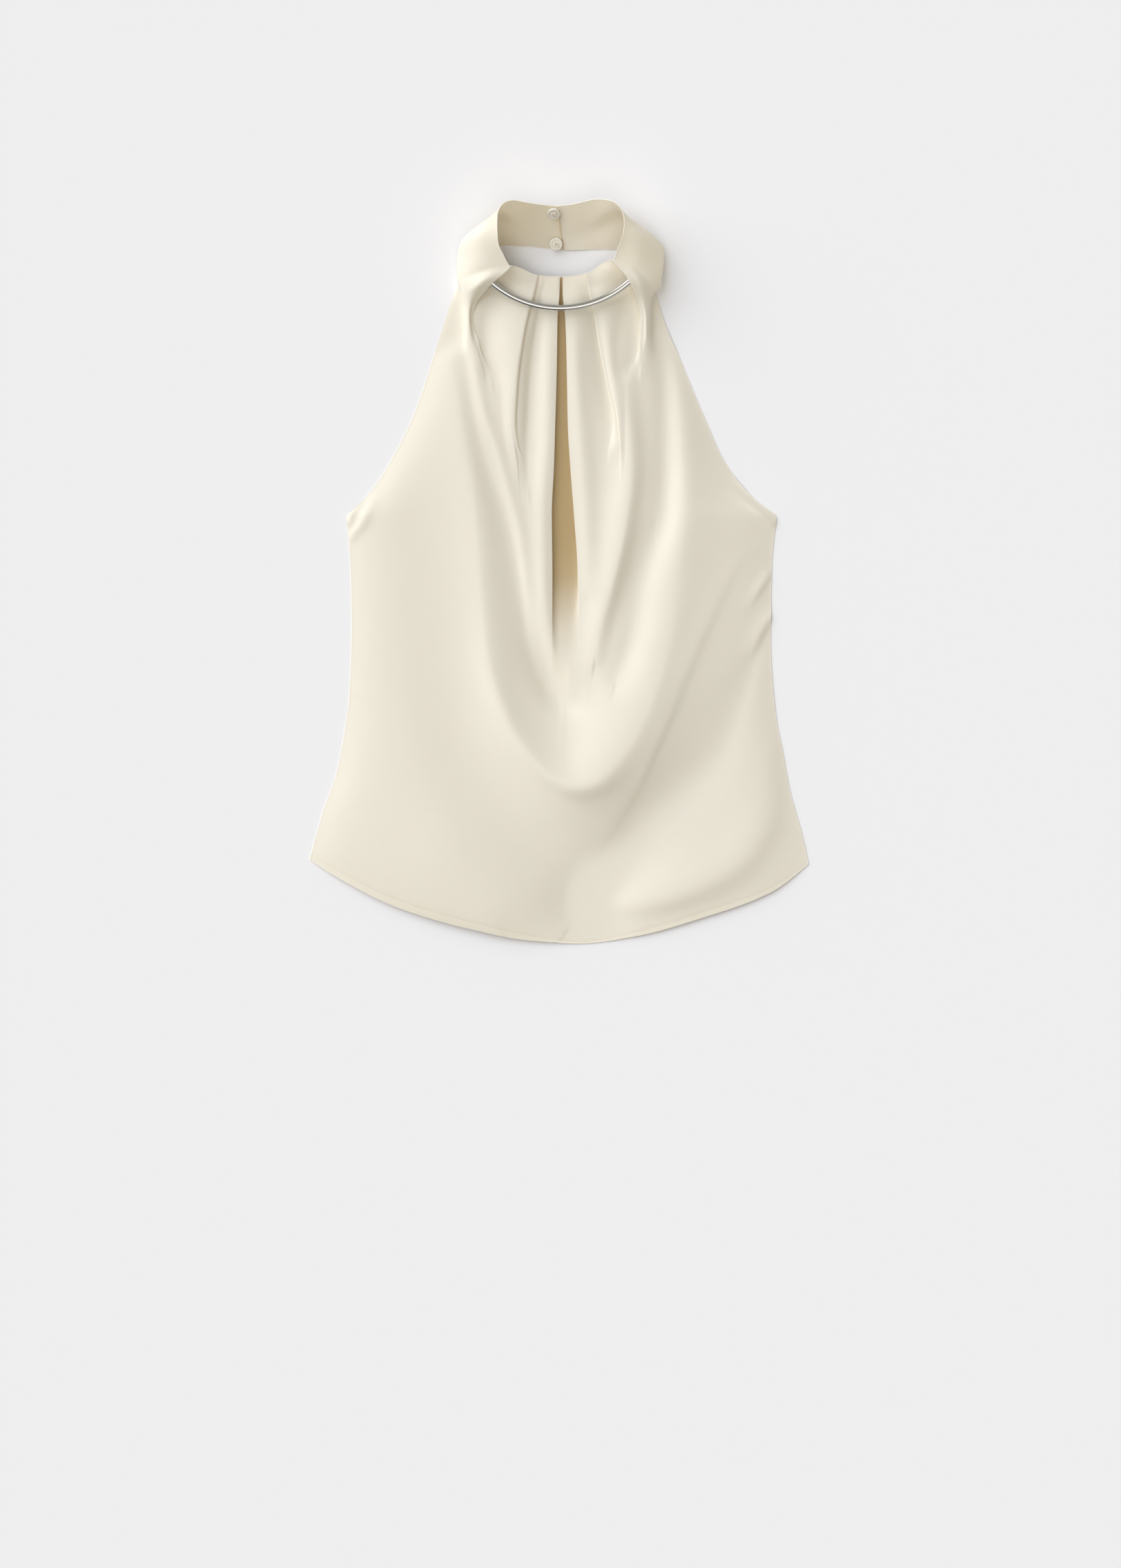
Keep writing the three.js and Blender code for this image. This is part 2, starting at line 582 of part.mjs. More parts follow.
// The centre pleat between the two halves: down under each edge and across its floor
function grooveRow(row, left, right) {
  const open = tableAt(groove, 'y', 'open', row);
  const deep = tableAt(groove, 'y', 'floor', row);
  const under = grooveUnder * open;
  const points = [];
  [[left, -1], [right, 1]].forEach(([rim, out]) => {
    const wide = (right.x - left.x) / 2;
    const inX = rim.x + out * under - out * wide * 0.3 * (1 - open);
    const floorX = rim.x + out * under * 0.8 - out * wide * 0.62 * (1 - open);
    const drop = Math.max(0, rim.z - deep) * open;
    points.push(new THREE.Vector3(inX, rim.y, rim.z - Math.min(drop * 0.5, 3)));
    points.push(new THREE.Vector3(floorX, rim.y, rim.z - drop));
  });
  const middle = points[1].clone().lerp(points[3], 0.5);
  return [points[0], points[1], middle, points[3], points[2]];
}

// Closed wall over a grid of middle points. cells(i, j) says whether a cell has cloth.
function makeWall(grid, cells, thickness) {
  const rows = grid.length;
  const columns = grid[0].length;
  const has = (i, j) => i >= 0 && j >= 0 && i < rows - 1 && j < columns - 1 && cells(i, j);
  const normals = grid.map((line) => line.map(() => new THREE.Vector3()));
  const corners = (i, j) => [[i, j], [i, j + 1], [i + 1, j + 1], [i + 1, j]];
  for (let i = 0; i < rows - 1; i += 1) {
    for (let j = 0; j < columns - 1; j += 1) {
      if (has(i, j)) {
        const [a, b, c, d] = corners(i, j).map(([r, k]) => grid[r][k]);
        const normal = c.clone().sub(a).cross(d.clone().sub(b)).normalize();
        corners(i, j).forEach(([r, k]) => normals[r][k].add(normal));
      }
    }
  }
  const positions = [];
  const index = new Map();
  const vertex = (i, j, face) => {
    const key = `${i} ${j} ${face}`;
    if (!index.has(key)) {
      const p = grid[i][j].clone().addScaledVector(normals[i][j].clone().normalize(), face * thickness / 2);
      p.z = Math.max(p.z, 0);
      index.set(key, positions.length / 3);
      positions.push(p.x, p.y, p.z);
    }
    return index.get(key);
  };
  const faces = [];
  const quad = (a, b, c, d) => faces.push(a, b, c, a, c, d);
  for (let i = 0; i < rows - 1; i += 1) {
    for (let j = 0; j < columns - 1; j += 1) {
      if (has(i, j)) {
        const at = corners(i, j);
        quad(...at.map(([r, k]) => vertex(r, k, 1)));
        const [a, b, c, d] = at.map(([r, k]) => vertex(r, k, -1));
        quad(a, d, c, b);
        const beside = [[i - 1, j], [i, j + 1], [i + 1, j], [i, j - 1]];
        beside.forEach(([r, k], n) => {
          if (!has(r, k)) {
            const [p, q] = [at[n], at[(n + 1) % 4]];
            quad(vertex(...p, 1), vertex(...p, -1), vertex(...q, -1), vertex(...q, 1));
          }
        });
      }
    }
  }
  const geometry = new THREE.BufferGeometry();
  geometry.setAttribute('position', new THREE.Float32BufferAttribute(positions, 3));
  geometry.setIndex(faces);
  geometry.computeVertexNormals();
  return geometry;
}

function material(color, roughness, metalness) {
  return new THREE.MeshStandardMaterial({ color, roughness, metalness });
}

function named(name, geometry, finish) {
  const mesh = new THREE.Mesh(geometry, finish);
  mesh.name = name;
  return mesh;
}

// Station t of a collar half as an even row of points from its lower edge to its top edge
function collarRow(stations, t, count) {
  const at = (name) => new THREE.CatmullRomCurve3(
    stations.map((s) => new THREE.Vector3(...s[name])), false, 'catmullrom').getPoint(t).toArray();
  return spread(['low', 'turn', 'face', 'top'].map(at), count);
}

const halves = {
  left: { side: sideLeft, armhole: armholeLeft, lines: linesLeft,
    knife: knifeLeft, strip: stripLeft, towards: 1, edgeDrop: -2 },
  right: { side: sideRight, armhole: armholeRight, lines: linesRight,
    knife: knifeRight, strip: stripRight, towards: -1, edgeDrop: -6.6 },
};
const ivorySatin = material(ivory, 0.42, 0);

function frontGrid() {
  const heights = [];
  for (let i = 0; i <= bodyRows; i += 1) {
    const f = i / bodyRows;
    heights.push(mix(hemCentreY, neckCentreY, f * (1 + 0.32 * (1 - f))));
  }
  const underarmRow = heights.reduce((best, y, i) => (
    Math.abs(y - underarmY) < Math.abs(heights[best] - underarmY) ? i : best), 0);
  heights[underarmRow] = underarmY;
  const grid = heights.map((row) => {
    const left = halfRow(row, halves.left);
    const right = halfRow(row, halves.right);
    const middle = grooveRow(row, left[left.length - 1], right[right.length - 1]);
    return [...left, ...middle, ...right.reverse()];
  });
  const columns = grid[0].length;
  const band = sideCells + stripCells;
  for (let i = 1; i <= collarRows; i += 1) {
    const line = grid[bodyRows].map((p) => p.clone());
    const left = collarRow(collarLeft, i / collarRows, band);
    const right = collarRow(collarRight, i / collarRows, band);
    left.forEach((p, k) => { line[k] = p; });
    right.forEach((p, k) => { line[columns - 1 - k] = p; });
    grid.push(line);
  }
  return { grid, band };
}

function makeFront() {
  const { grid, band } = frontGrid();
  const columns = grid[0].length;
  const cells = (i, j) => i < bodyRows || j < band || j >= columns - 1 - band;
  return named('front', makeWall(grid, cells, clothWall), ivorySatin);
}

// Plain back panel, flat on the surface under the front
function makeBack() {
  const rows = 18;
  const columns = 16;
  const grid = [];
  for (let i = 0; i <= rows; i += 1) {
    const row = mix(hemCentreY, backTopY, i / rows);
    const sag = 1 - i / rows;
    const line = [];
    for (let k = 0; k <= columns; k += 1) {
      const u = mix(-1, 1, k / columns);
      const rise = (v) => tableAt(hemRise, 'u', 'rise', v) * sag;
      const edge = u < 0
        ? outlineX(sideLeft, armholeLeft, row + rise(-1)) + backInset
        : outlineX(sideRight, armholeRight, row + rise(1)) - backInset;
      const lift = backInset * sag;
      line.push(new THREE.Vector3(edge * Math.abs(u), row + rise(u) + lift, clothWall / 2));
    }
    grid.push(line);
  }
  return named('back', makeWall(grid, () => true, clothWall), ivorySatin);
}

// Curved bar over the pleats: an arc whose plane rises to the ends, tucked under the folds
function makeBar() {
  const points = [];
  const steps = 30;
  for (let i = 0; i <= steps; i += 1) {
    const angle = THREE.MathUtils.degToRad(mix(-barHalfAngle, barHalfAngle, i / steps));
    const x = barCentre.x + barRadius * Math.sin(angle);
    const y = barCentre.y - barRadius * Math.cos(angle);
    points.push(new THREE.Vector3(x, y, barLowZ + barSlope * (y - barCentre.y + barRadius)));
  }
  const section = new THREE.Shape().absarc(0, 0, barDiameter / 2, 0, 2 * Math.PI);
  const path = new THREE.CatmullRomCurve3(points);
  const geometry = new THREE.ExtrudeGeometry(section, {
    steps, curveSegments: 6, extrudePath: path, bevelEnabled: false });
  return named('neck_bar', geometry, material(chromeGrey, 0.12, 1));
}

// A button with a rim and four sewing holes, laid on the inner face of the collar's left
// half at a share of the way round it and a share of the way up it
function makeButton(name, around, up) {
  const r = buttonDiameter / 2;
  const profile = [
    [0, 0],
    [r - 0.8, 0],
    [r, 0.8],
    [r, buttonThickness - 0.6],
    [r - 0.7, buttonThickness],
    [r - 1.6, buttonThickness],
    [r - 2.3, buttonThickness - 0.7],
    [0, buttonThickness - 0.7],
  ].map(([x, y]) => new THREE.Vector2(x, y));
  let body = solid(new THREE.LatheGeometry(profile, 24));
  [[-1, -1], [-1, 1], [1, -1], [1, 1]].forEach(([sx, sy]) => {
    const hole = new THREE.CylinderGeometry(0.75, 0.75, 8, 8);
    hole.translate(sx * 1.3, 0, sy * 1.3);
    body = body.subtract(solid(hole));
  });
  const button = named(name, geometryOf(body), material(clearCream, 0.15, 0));
  const count = 40;
  const step = 0.01;
  const k = Math.round(up * count);
  const here = collarRow(collarLeft, around, count);
  const ahead = collarRow(collarLeft, around + step, count)[k].sub(here[k]);
  const normal = here[k + 1].clone().sub(here[k - 1]).cross(ahead).normalize();
  normal.multiplyScalar(Math.sign(normal.z));
  button.position.copy(here[k]).addScaledVector(normal, clothWall / 2 + seamGap + buttonSag);
  button.quaternion.setFromUnitVectors(new THREE.Vector3(0, 1, 0), normal);
  return button;
}

function solid(geometry) {
  const position = geometry.getAttribute('position');
  const index = geometry.getIndex();
  const key = new Map();
  const points = [];
  const remap = [];
  for (let i = 0; i < position.count; i += 1) {
    const p = [position.getX(i), position.getY(i), position.getZ(i)];
    const name = p.map((v) => Math.round(v * 1e4)).join(' ');
    if (!key.has(name)) {
      key.set(name, points.length / 3);
      points.push(...p);
    }
    remap.push(key.get(name));
  }
  const faces = [];
  for (let i = 0; i < index.count; i += 3) {
    const [a, b, c] = [0, 1, 2].map((k) => remap[index.getX(i + k)]);
    if (a !== b && b !== c && a !== c) {
      faces.push(a, b, c);
    }
  }
  return new wasm.Manifold(new wasm.Mesh({
    numProp: 3, vertProperties: new Float32Array(points), triVerts: new Uint32Array(faces) }));
}

function geometryOf(body) {
  const mesh = body.getMesh();
  const geometry = new THREE.BufferGeometry();
  geometry.setAttribute('position', new THREE.BufferAttribute(mesh.vertProperties, 3));
  geometry.setIndex(new THREE.BufferAttribute(mesh.triVerts, 1));
  geometry.computeVertexNormals();
  return geometry;
}

const group = new THREE.Group();
group.add(makeBack());
group.add(makeFront());
group.add(makeBar());
group.add(makeButton('button_upper', 0.9, 0.84));
group.add(makeButton('button_lower', 0.917, 0.13));

export default group;
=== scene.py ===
import math

import bpy
import numpy as np
from mathutils import Matrix, Vector


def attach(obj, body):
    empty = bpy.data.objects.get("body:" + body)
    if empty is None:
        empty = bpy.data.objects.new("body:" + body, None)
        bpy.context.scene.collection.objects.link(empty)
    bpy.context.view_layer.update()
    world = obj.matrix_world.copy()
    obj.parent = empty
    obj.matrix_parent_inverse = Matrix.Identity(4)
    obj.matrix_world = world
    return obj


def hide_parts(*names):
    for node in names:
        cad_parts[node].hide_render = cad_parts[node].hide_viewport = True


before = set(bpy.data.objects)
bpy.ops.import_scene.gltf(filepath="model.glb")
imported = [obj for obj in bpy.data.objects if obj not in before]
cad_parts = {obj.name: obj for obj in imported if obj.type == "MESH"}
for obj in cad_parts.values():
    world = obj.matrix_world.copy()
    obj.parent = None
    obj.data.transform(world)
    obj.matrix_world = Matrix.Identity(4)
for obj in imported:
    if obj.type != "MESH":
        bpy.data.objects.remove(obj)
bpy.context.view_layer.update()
mm = 0.001  # the tables are in millimetres, as the pattern is drawn

# Camera straight above the table, hem at the bottom of the picture
view = {
    "imageWidth": 1624,
    "imageHeight": 2272,
    "mmPerPixel": 0.65,  # on the table
    "centreX": 1.3,
    "centreY": -199.55,
    "lens": 300,
    "sensor": 36,
    "clipEnd": 60,
}


def addCamera():
    frameHeight = view["imageHeight"] * view["mmPerPixel"] * mm
    distance = view["lens"] * frameHeight / view["sensor"]
    data = bpy.data.cameras.new("tableCamera")
    data.lens = view["lens"]
    data.sensor_width = view["sensor"]
    data.clip_end = view["clipEnd"]
    data.dof.use_dof = False
    camera = bpy.data.objects.new("tableCamera", data)
    camera.location = (view["centreX"] * mm, view["centreY"] * mm, distance)
    bpy.context.scene.collection.objects.link(camera)
    bpy.context.scene.camera = camera


addCamera()
print("camera ready")

# Pale table, soft key light from the upper left, a softbox overhead
studio = {
    "tableSize": 24,
    "tableDrop": 0.0001,
    "tableColour": (0.832, 0.836, 0.862, 1),
    "keyFrom": (-0.64, 0.52, 0.62),
    "keyStrength": 2.0,
    "keyColour": (0.93, 1.0, 1.13),
    "keyAngle": 66,
    "air": 0.40,
    "airColour": (1.0, 0.94, 0.83, 1),  # warm fill, so the shaded folds turn cream
    "boxFrom": (0.0, -0.33, 0.94),
    "boxEdge": (0.87, 0.92),  # cosines of the soft rim of the box
    "boxStrength": 1.15,
    "lowFrom": (-0.84, 0.48, 0.18),  # white wall low on the left, for the long soft shadows
    "lowEdge": (0.83, 0.97),
    "lowStrength": 2.5,
    "flagFrom": (-0.25, -0.83, 0.50),
    "flagEdge": (0.88, 0.95),
    "flagStrength": -0.37,
}


def addAir():
    world = bpy.data.worlds.new("studioAir")
    bpy.context.scene.world = world
    world.use_nodes = True
    nodes, links = world.node_tree.nodes, world.node_tree.links
    background = nodes["Background"]
    background.inputs["Color"].default_value = studio["airColour"]
    place = nodes.new("ShaderNodeTexCoord")
    level = None
    for part in ("box", "low", "flag"):
        facing = nodes.new("ShaderNodeVectorMath")
        facing.operation = "DOT_PRODUCT"
        facing.inputs[1].default_value = Vector(studio[part + "From"]).normalized()
        patch = nodes.new("ShaderNodeMapRange")
        patch.interpolation_type = "SMOOTHSTEP"
        patch.inputs["From Min"].default_value, patch.inputs["From Max"].default_value = studio[part + "Edge"]
        patch.inputs["To Max"].default_value = studio[part + "Strength"]
        total = nodes.new("ShaderNodeMath")
        total.operation = "ADD"
        links.new(place.outputs["Generated"], facing.inputs[0])
        links.new(facing.outputs["Value"], patch.inputs["Value"])
        links.new(patch.outputs["Result"], total.inputs[0])
        if level is None:
            total.inputs[1].default_value = studio["air"]
        else:
            links.new(level, total.inputs[1])
        level = total.outputs["Value"]
    links.new(level, background.inputs["Strength"])


def addStudio():
    bpy.ops.object.select_all(action="DESELECT")
    bpy.ops.mesh.primitive_plane_add(size=studio["tableSize"], location=(0, 0, -studio["tableDrop"]))
    table = bpy.context.object
    table.name = "table"
    paint = bpy.data.materials.new("tablePaper")
    paint.use_nodes = True
    shader = paint.node_tree.nodes["Principled BSDF"]
    shader.inputs["Base Color"].default_value = studio["tableColour"]
    shader.inputs["Roughness"].default_value = 0.95
    shader.inputs["Specular IOR Level"].default_value = 0.0
    table.data.materials.append(paint)

    light = bpy.data.lights.new("keyLight", "SUN")
    light.energy = studio["keyStrength"]
    light.color = studio["keyColour"]
    light.angle = math.radians(studio["keyAngle"])
    key = bpy.data.objects.new("keyLight", light)
    key.visible_glossy = False  # the tube mirrors the white cards only
    key.rotation_euler = Vector(studio["keyFrom"]).to_track_quat("Z", "Y").to_euler()
    bpy.context.scene.collection.objects.link(key)
    addAir()
    bpy.context.scene.view_settings.view_transform = "Standard"


addStudio()
print("studio ready")

# How the cloth lies: heights are of its middle, under is what a pleat hides
cloth = {
    "wall": 0.26,
    "frontRest": 0.42,
    "tableRest": 0.36,
    "rollLeft": 18,
    "rollRight": 32,
    "touch": 2,
    "hemRoll": 16,
    "hemHold": 0.5,
    "underarmY": 53.5,
    "hemCentreY": -349.7,
    "hemHalfWidth": 234.7,
    "neckCentreY": 277.6,
    "neckHalfWidth": 46,
    "neckSpring": 7,
    "springFromY": 268,
    "springToY": 287,
    "neckCurveFromY": 170,
    "stripFromY": 200,
    "stripToY": 226,
    "layerGap": 1.2,
    "foldedFrom": 3,
    "noseRun": 3,
    "noseRound": 1.3,
    "grooveUnder": 2.2,
    "backTopY": 46,
    "backInset": 1.2,
    "backRest": 0.14,
    # painted shade on the collar's inner face: more on the left half, where the light falls least
    "paintedShadeLeft": 0.28,
    "paintedShadeRight": 0.12,
    # where, up the collar, the painted shade of the slit begins
    "slitShadeFrom": 0.9,
}

sideLeft = {
    "y": [-271, -222, -192, -153, -116, -46, 6, 53.5],
    "x": [-234.7, -221, -210, -202.2, -197.3, -195, -196.3, -200],
}
sideRight = {
    "y": [-275, -249, -203, -170, -137, -67, 2, 53.5],
    "x": [234.7, 229, 216.5, 210.6, 204.1, 199, 199.8, 204.8],
}
armholeLeft = {
    "y": [53.5, 72.8, 106, 152.8, 211.9, 245.7, 275.6],
    "x": [-200, -179.4, -157.3, -134.6, -115.1, -105.5, -93.6],
}
armholeRight = {
    "y": [53.5, 69.6, 103.4, 137.8, 207.4, 252.2, 271],
    "x": [204.8, 182.7, 156, 139.8, 111.2, 94.5, 89.1],
}
hemRise = {
    "u": [-1, -0.88, -0.66, -0.39, -0.12, 0.08, 0.31, 0.58, 0.84, 1],
    "rise": [78.7, 61, 35.1, 15.6, 3, 0, 7.1, 24.7, 47.2, 74.7],
}
neckRise = {
    "x": [-96, -75, -43.6, -20, 2, 24.7, 48.1, 72, 92],
    "rise": [-3, 4, 9.7, 1.3, 0, 2.6, 14.9, 7, -8],
}
restHeight = {
    "y": [-350, -250, -100, 50, 150, 205, 240, 262, 278],
    "z": [4, 6.2, 7.2, 7.6, 8, 8.5, 9.2, 10.4, 12],
}

# Folds of the cloth: a path down the body, the height of its ridge or trough
# there, and how far it reaches to the inner and outer side
folds = [
    {"name": "bigUFold", "fall": 1.35,
     "x": [99, 108, 112, 114, 116, 116, 113, 109, 101, 92, 78, 56, 31, 10, -14, -38, -51, -61, -68, -72, -75, -79, -85, -91, -96],
     "y": [233, 201, 175, 136, 84, 38, -1, -40, -79, -111, -146, -180, -200, -202, -187, -158, -131, -101, -66, -27, 12, 58, 103, 142, 175],
     "h": [1, 4, 5.5, 7, 7.5, 8, 8.5, 9.5, 11, 13, 14, 14.2, 13.6, 12.4, 10.6, 9.2, 8.4, 7.4, 6.2, 5.4, 5, 4.6, 4, 2.6, 1],
     "inner": [12, 14, 16, 22, 28, 34, 44, 52, 60, 66, 66, 62, 56, 46, 36, 30, 26, 24, 24, 22, 22, 20, 18, 16, 14], "outer": [30, 32, 34, 36, 38, 42, 44, 46, 46, 46, 42, 38, 36, 36, 36, 34, 28, 22, 20, 22, 24, 26, 26, 24, 20]},
    {"name": "leftTrough",
     "x": [-90, -86, -79, -68, -53, -43, -35, -26, -16, -4, 9, 25],
     "y": [214, 175, 136, 97, 58, 19, -20, -56, -88, -116, -125, -119],
     "h": [-1, -1.6, -1.8, -1.8, -2, -2.4, -3, -4.6, -6.8, -7, -4.4, -0.6],
     "inner": [8, 10, 12, 13, 14, 15, 16, 17, 17, 14, 14, 14], "outer": [6, 6, 7, 8, 8, 8, 8, 9, 13, 15, 15, 15]},
    {"name": "uLowerRim",
     "x": [-78, -68, -56, -40, -25, -5, 18, 39, 57],
     "y": [-66, -98, -127, -157, -178, -196, -205, -202, -190],
     "h": [0.4, 1.2, 1.8, 2.2, 2.4, 2.4, 2.4, 1.6, 0.4],
     "inner": [9, 9, 9, 9, 8, 8, 7, 7, 7], "outer": 12},
    {"name": "leftInnerFold",
     "x": [-83, -78, -70, -59, -47, -38, -33, -29, -23, -15],
     "y": [215, 188, 150, 119, 75, 41, 6, -29, -64, -92],
     "h": [0.5, 1, 1.4, 1.3, 1.2, 1.1, 1.2, 1.6, 1.5, 0.5],
     "inner": 5, "outer": 7},
    {"name": "innerPanelCrown",
     "x": [-13, -11, -11, -12, -15, -15, -13, -6],
     "y": [266, 214, 175, 123, 71, 19, -33, -82],
     "h": [1, 2, 2.4, 2.4, 2.4, 2.6, 3, 1],
     "inner": 9, "outer": 9},
    {"name": "leftPleatShade",
     "x": [-16, -20, -25, -28, -29, -30, -28],
     "y": [266, 240, 214, 181, 149, 116, 81],
     "h": [-1.4, -4, -6, -5.6, -4.8, -3.4, -1],
     "inner": [2.8, 3, 3.5, 4, 5, 6, 6], "outer": [11, 11, 12, 13, 15, 16, 14]},
    {"name": "rightPanelCrown",
     "x": [14, 15, 17, 20, 24, 27, 29],
     "y": [259, 214, 175, 136, 84, 32, -14],
     "h": [1, 2.6, 3, 3, 2.6, 2.6, 1.5],
     "inner": 9, "outer": [9, 9, 10, 11, 12, 12, 12]},
    {"name": "rightPleatShade",
     "x": [29, 35, 40, 46, 51],
     "y": [263, 233, 201, 165, 129],
     "h": [-1.6, -4, -4.6, -3.6, -1.2],
     "inner": [8, 9, 11, 12, 12], "outer": 6},
    {"name": "rightInnerFold",
     "x": [62, 66, 68, 64, 57, 49, 40, 34],
     "y": [175, 136, 97, 58, 19, -14, -46, -79],
     "h": [3, 5, 6, 6.5, 6.5, 6, 5, 2.5],
     "inner": [10, 12, 16, 20, 20, 18, 16, 14], "outer": [11, 12, 12, 12, 11, 10, 10, 9]},
    {"name": "rightSoftTrough",
     "x": [60, 56, 54, 58],
     "y": [253, 227, 201, 175],
     "h": [-0.6, -1.2, -1.2, -0.6],
     "inner": 7, "outer": 7},
    {"name": "rightTrough",
     "x": [94, 100, 103, 103, 102, 98, 87, 77, 73, 64, 55],
     "y": [246, 214, 175, 136, 90, 51, 19, -14, -46, -79, -101],
     "h": [-4.4, -6.6, -7.4, -7.4, -7.2, -6.2, -4.8, -4, -3.6, -3.4, -2.4],
     "inner": [7, 10, 13, 14, 14, 15, 16, 16, 15, 13, 11], "outer": [10, 11, 12, 13, 13, 14, 15, 16, 16, 16, 15]},
    {"name": "rightCreaseLine",
     "x": [189, 172, 158, 144, 131, 116, 103, 90, 77, 58, 38],
     "y": [21, 11, -13, -43, -72, -107, -140, -168, -198, -230, -259],
     "h": [0.1, 0.4, 0.6, 0.8, 0.9, 0.9, 0.9, 0.9, 0.8, 0.5, 0.1],
     "inner": 14, "outer": 2.4},
    {"name": "rightSecondTrough",
     "x": [202, 187, 177, 166, 153, 136, 110, 83, 66, 48, 32, 20],
     "y": [-49, -75, -103, -133, -163, -186, -209, -233, -259, -281, -300, -318],
     "h": [-2, -2.4, -2.6, -3, -3.4, -4.4, -5.4, -6.2, -7, -7.2, -6, -4],
     "inner": [6, 10, 18, 26, 30, 32, 32, 30, 30, 30, 30, 30], "outer": [6, 8, 10, 14, 20, 26, 32, 36, 40, 42, 42, 42]},
    {"name": "rightLowRidge",
     "x": [213, 209, 204, 192, 169, 133, 98, 62, 32],
     "y": [-131, -170, -209, -244, -275, -297, -309, -314, -315],
     "h": [2, 3.8, 4.2, 4.6, 4.6, 4.6, 4.2, 2.8, 0.6],
     "inner": [18, 24, 30, 34, 34, 34, 32, 26, 18], "outer": [14, 16, 18, 18, 17, 14, 12, 11, 10]},
    {"name": "leftBroadTrough",
     "x": [-135, -124, -112, -100, -72, -20, 23, 38],
     "y": [84, 19, -46, -111, -176, -238, -281, -326],
     "h": [-0.2, -0.2, -0.2, -0.4, -1.2, -2.6, -4.4, -4],
     "inner": [14, 16, 18, 22, 34, 50, 50, 40], "outer": [14, 14, 14, 14, 20, 28, 32, 28]},
    {"name": "leftBroadRidge",
     "x": [-162, -156, -150, -134, -107, -72],
     "y": [84, -14, -111, -196, -261, -313],
     "h": [0.2, 0.4, 1, 4, 7.5, 7.5],
     "inner": [40, 40, 50, 80, 90, 90], "outer": [16, 16, 24, 44, 66, 66]},
    {"name": "leftRecess",
     "x": [-48, -60, -67, -68, -64], "y": [276, 262, 242, 218, 190],
     "h": [-0.6, -2.4, -4.4, -4.4, -2], "inner": 10, "outer": 16},
    {"name": "rightRecess",
     "x": [54, 63, 67, 70, 68], "y": [278, 262, 242, 222, 200],
     "h": [-1, -2, -2, -1.5, -1], "inner": 13, "outer": 9},
]

# Small gathers where the seams pull, right up to the edge
puckers = [
    {"name": "leftArmEdge", "x": [-198, -194, -186], "y": [47, 57, 66],
     "h": [1.4, 1.6, 0.4], "inner": 2.6, "outer": 2.6},
    {"name": "leftArmCurl", "x": [-195, -184, -176], "y": [34, 49, 70],
     "h": [1.6, 2, 0.4], "inner": 5, "outer": 3.6},
    {"name": "rightArmEdge", "x": [165, 186, 202], "y": [87, 74, 61],
     "h": [0.4, 1.8, 1.6], "inner": 3, "outer": 3},
    {"name": "rightArmCurl", "x": [164, 184, 201], "y": [73, 60, 47],
     "h": [0.4, 2, 1.6], "inner": 4, "outer": 3.4},
    {"name": "rightSeamUpper", "x": [196, 187, 178], "y": [-6, -19, -33],
     "h": [1.2, 1.2, 0.2], "inner": 6, "outer": 2.6},
    {"name": "rightSeamLower", "x": [198, 188, 180], "y": [-44, -62, -80],
     "h": [1.4, 1.4, 0.3], "inner": 8, "outer": 3},
    {"name": "leftSeamUpper", "x": [-196, -186, -178], "y": [-22, -27, -34],
     "h": [0.5, 0.5, 0.1], "inner": 3, "outer": 3},
    {"name": "leftSeamLower", "x": [-196, -185, -176], "y": [-112, -117, -126],
     "h": [0.6, 0.5, 0.1], "inner": 3, "outer": 3},
]

# Strip between the armhole edge and the fold that turns over the bar's end
stripLeft = {
    "y": [205, 225, 240, 251, 258, 265, 271, 277.6],
    "edgeX": [-117, -111.5, -107, -103.5, -101, -98.3, -96, -93.6],
    "edgeZ": [1.4, 1.2, 1, 0.9, 0.8, 0.7, 0.6, 0.6],
    "footX": [-89.5, -90, -90, -90.5, -91.5, -92.5, -94.5, -96],
    "footZ": [4.2, 3.6, 3.2, 3, 3.4, 4.2, 5.4, 7],
    "shoulderX": [-85.5, -87, -87.3, -88.3, -89.5, -90.5, -90, -88],
    "shoulderZ": [9, 9, 9.5, 10, 11, 13, 16, 18],
    "crestX": [-80, -83.5, -84.5, -83.5, -81, -77, -71, -67],
    "crestZ": [9.5, 10, 11, 13.5, 18.5, 26, 28.5, 28],
    "noseX": [-71.5, -78.7, -81, -77.5, -70.5, -62, -51, -43.6],
    "noseZ": [7.5, 7.4, 8, 11, 17.5, 26, 29.4, 30],
}
stripRight = {
    "y": [205, 225, 240, 251, 258, 265, 271, 277.6],
    "edgeX": [112.5, 104.5, 99.5, 96.3, 94.3, 92.3, 90.5, 89.1],
    "edgeZ": [1.4, 1.2, 1, 0.9, 0.8, 0.7, 0.6, 0.6],
    "footX": [91, 89, 88, 87.5, 88, 88.5, 91.5, 96.5],
    "footZ": [3.8, 3.4, 3.2, 3.2, 3.8, 4.4, 5.2, 6.5],
    "shoulderX": [84, 84.5, 85.3, 85.3, 86, 87, 88.5, 90],
    "shoulderZ": [9, 9, 10, 11, 12, 14, 16, 18],
    "crestX": [80, 81.5, 81.5, 79.5, 79, 78, 75, 70],
    "crestZ": [9.5, 11, 13, 15.5, 20, 26, 28.5, 28],
    "noseX": [74, 77.5, 76.5, 73, 69.3, 65, 57.5, 48.1],
    "noseZ": [8.5, 9.6, 11.4, 14.5, 21, 28, 29.6, 30],
}
linesLeft = {
    "y": [-350, -200, -50, 0, 55, 100, 140, 180, 215, 240, 251, 258, 265, 271, 277.6],
    "foot": [-130, -112, -84, -80, -80, -81, -83, -87, -90, -90, -90.5, -91.5, -92.5, -94.5, -96],
    "nose": [-80, -66, -56, -56, -57, -59, -64, -67, -75.5, -81, -77.5, -70.5, -62, -51, -43.6],
    "pleat": [-42, -36, -29, -31, -33, -35.5, -41, -39, -34, -29, -26, -24, -22.3, -21, -19.8],
    "groove": [-8, -7, -6.5, -6.5, -7, -5, -3.8, -2.6, -2, -1.6, -0.6, 0, 0.3, 0.5, 0.7],
}
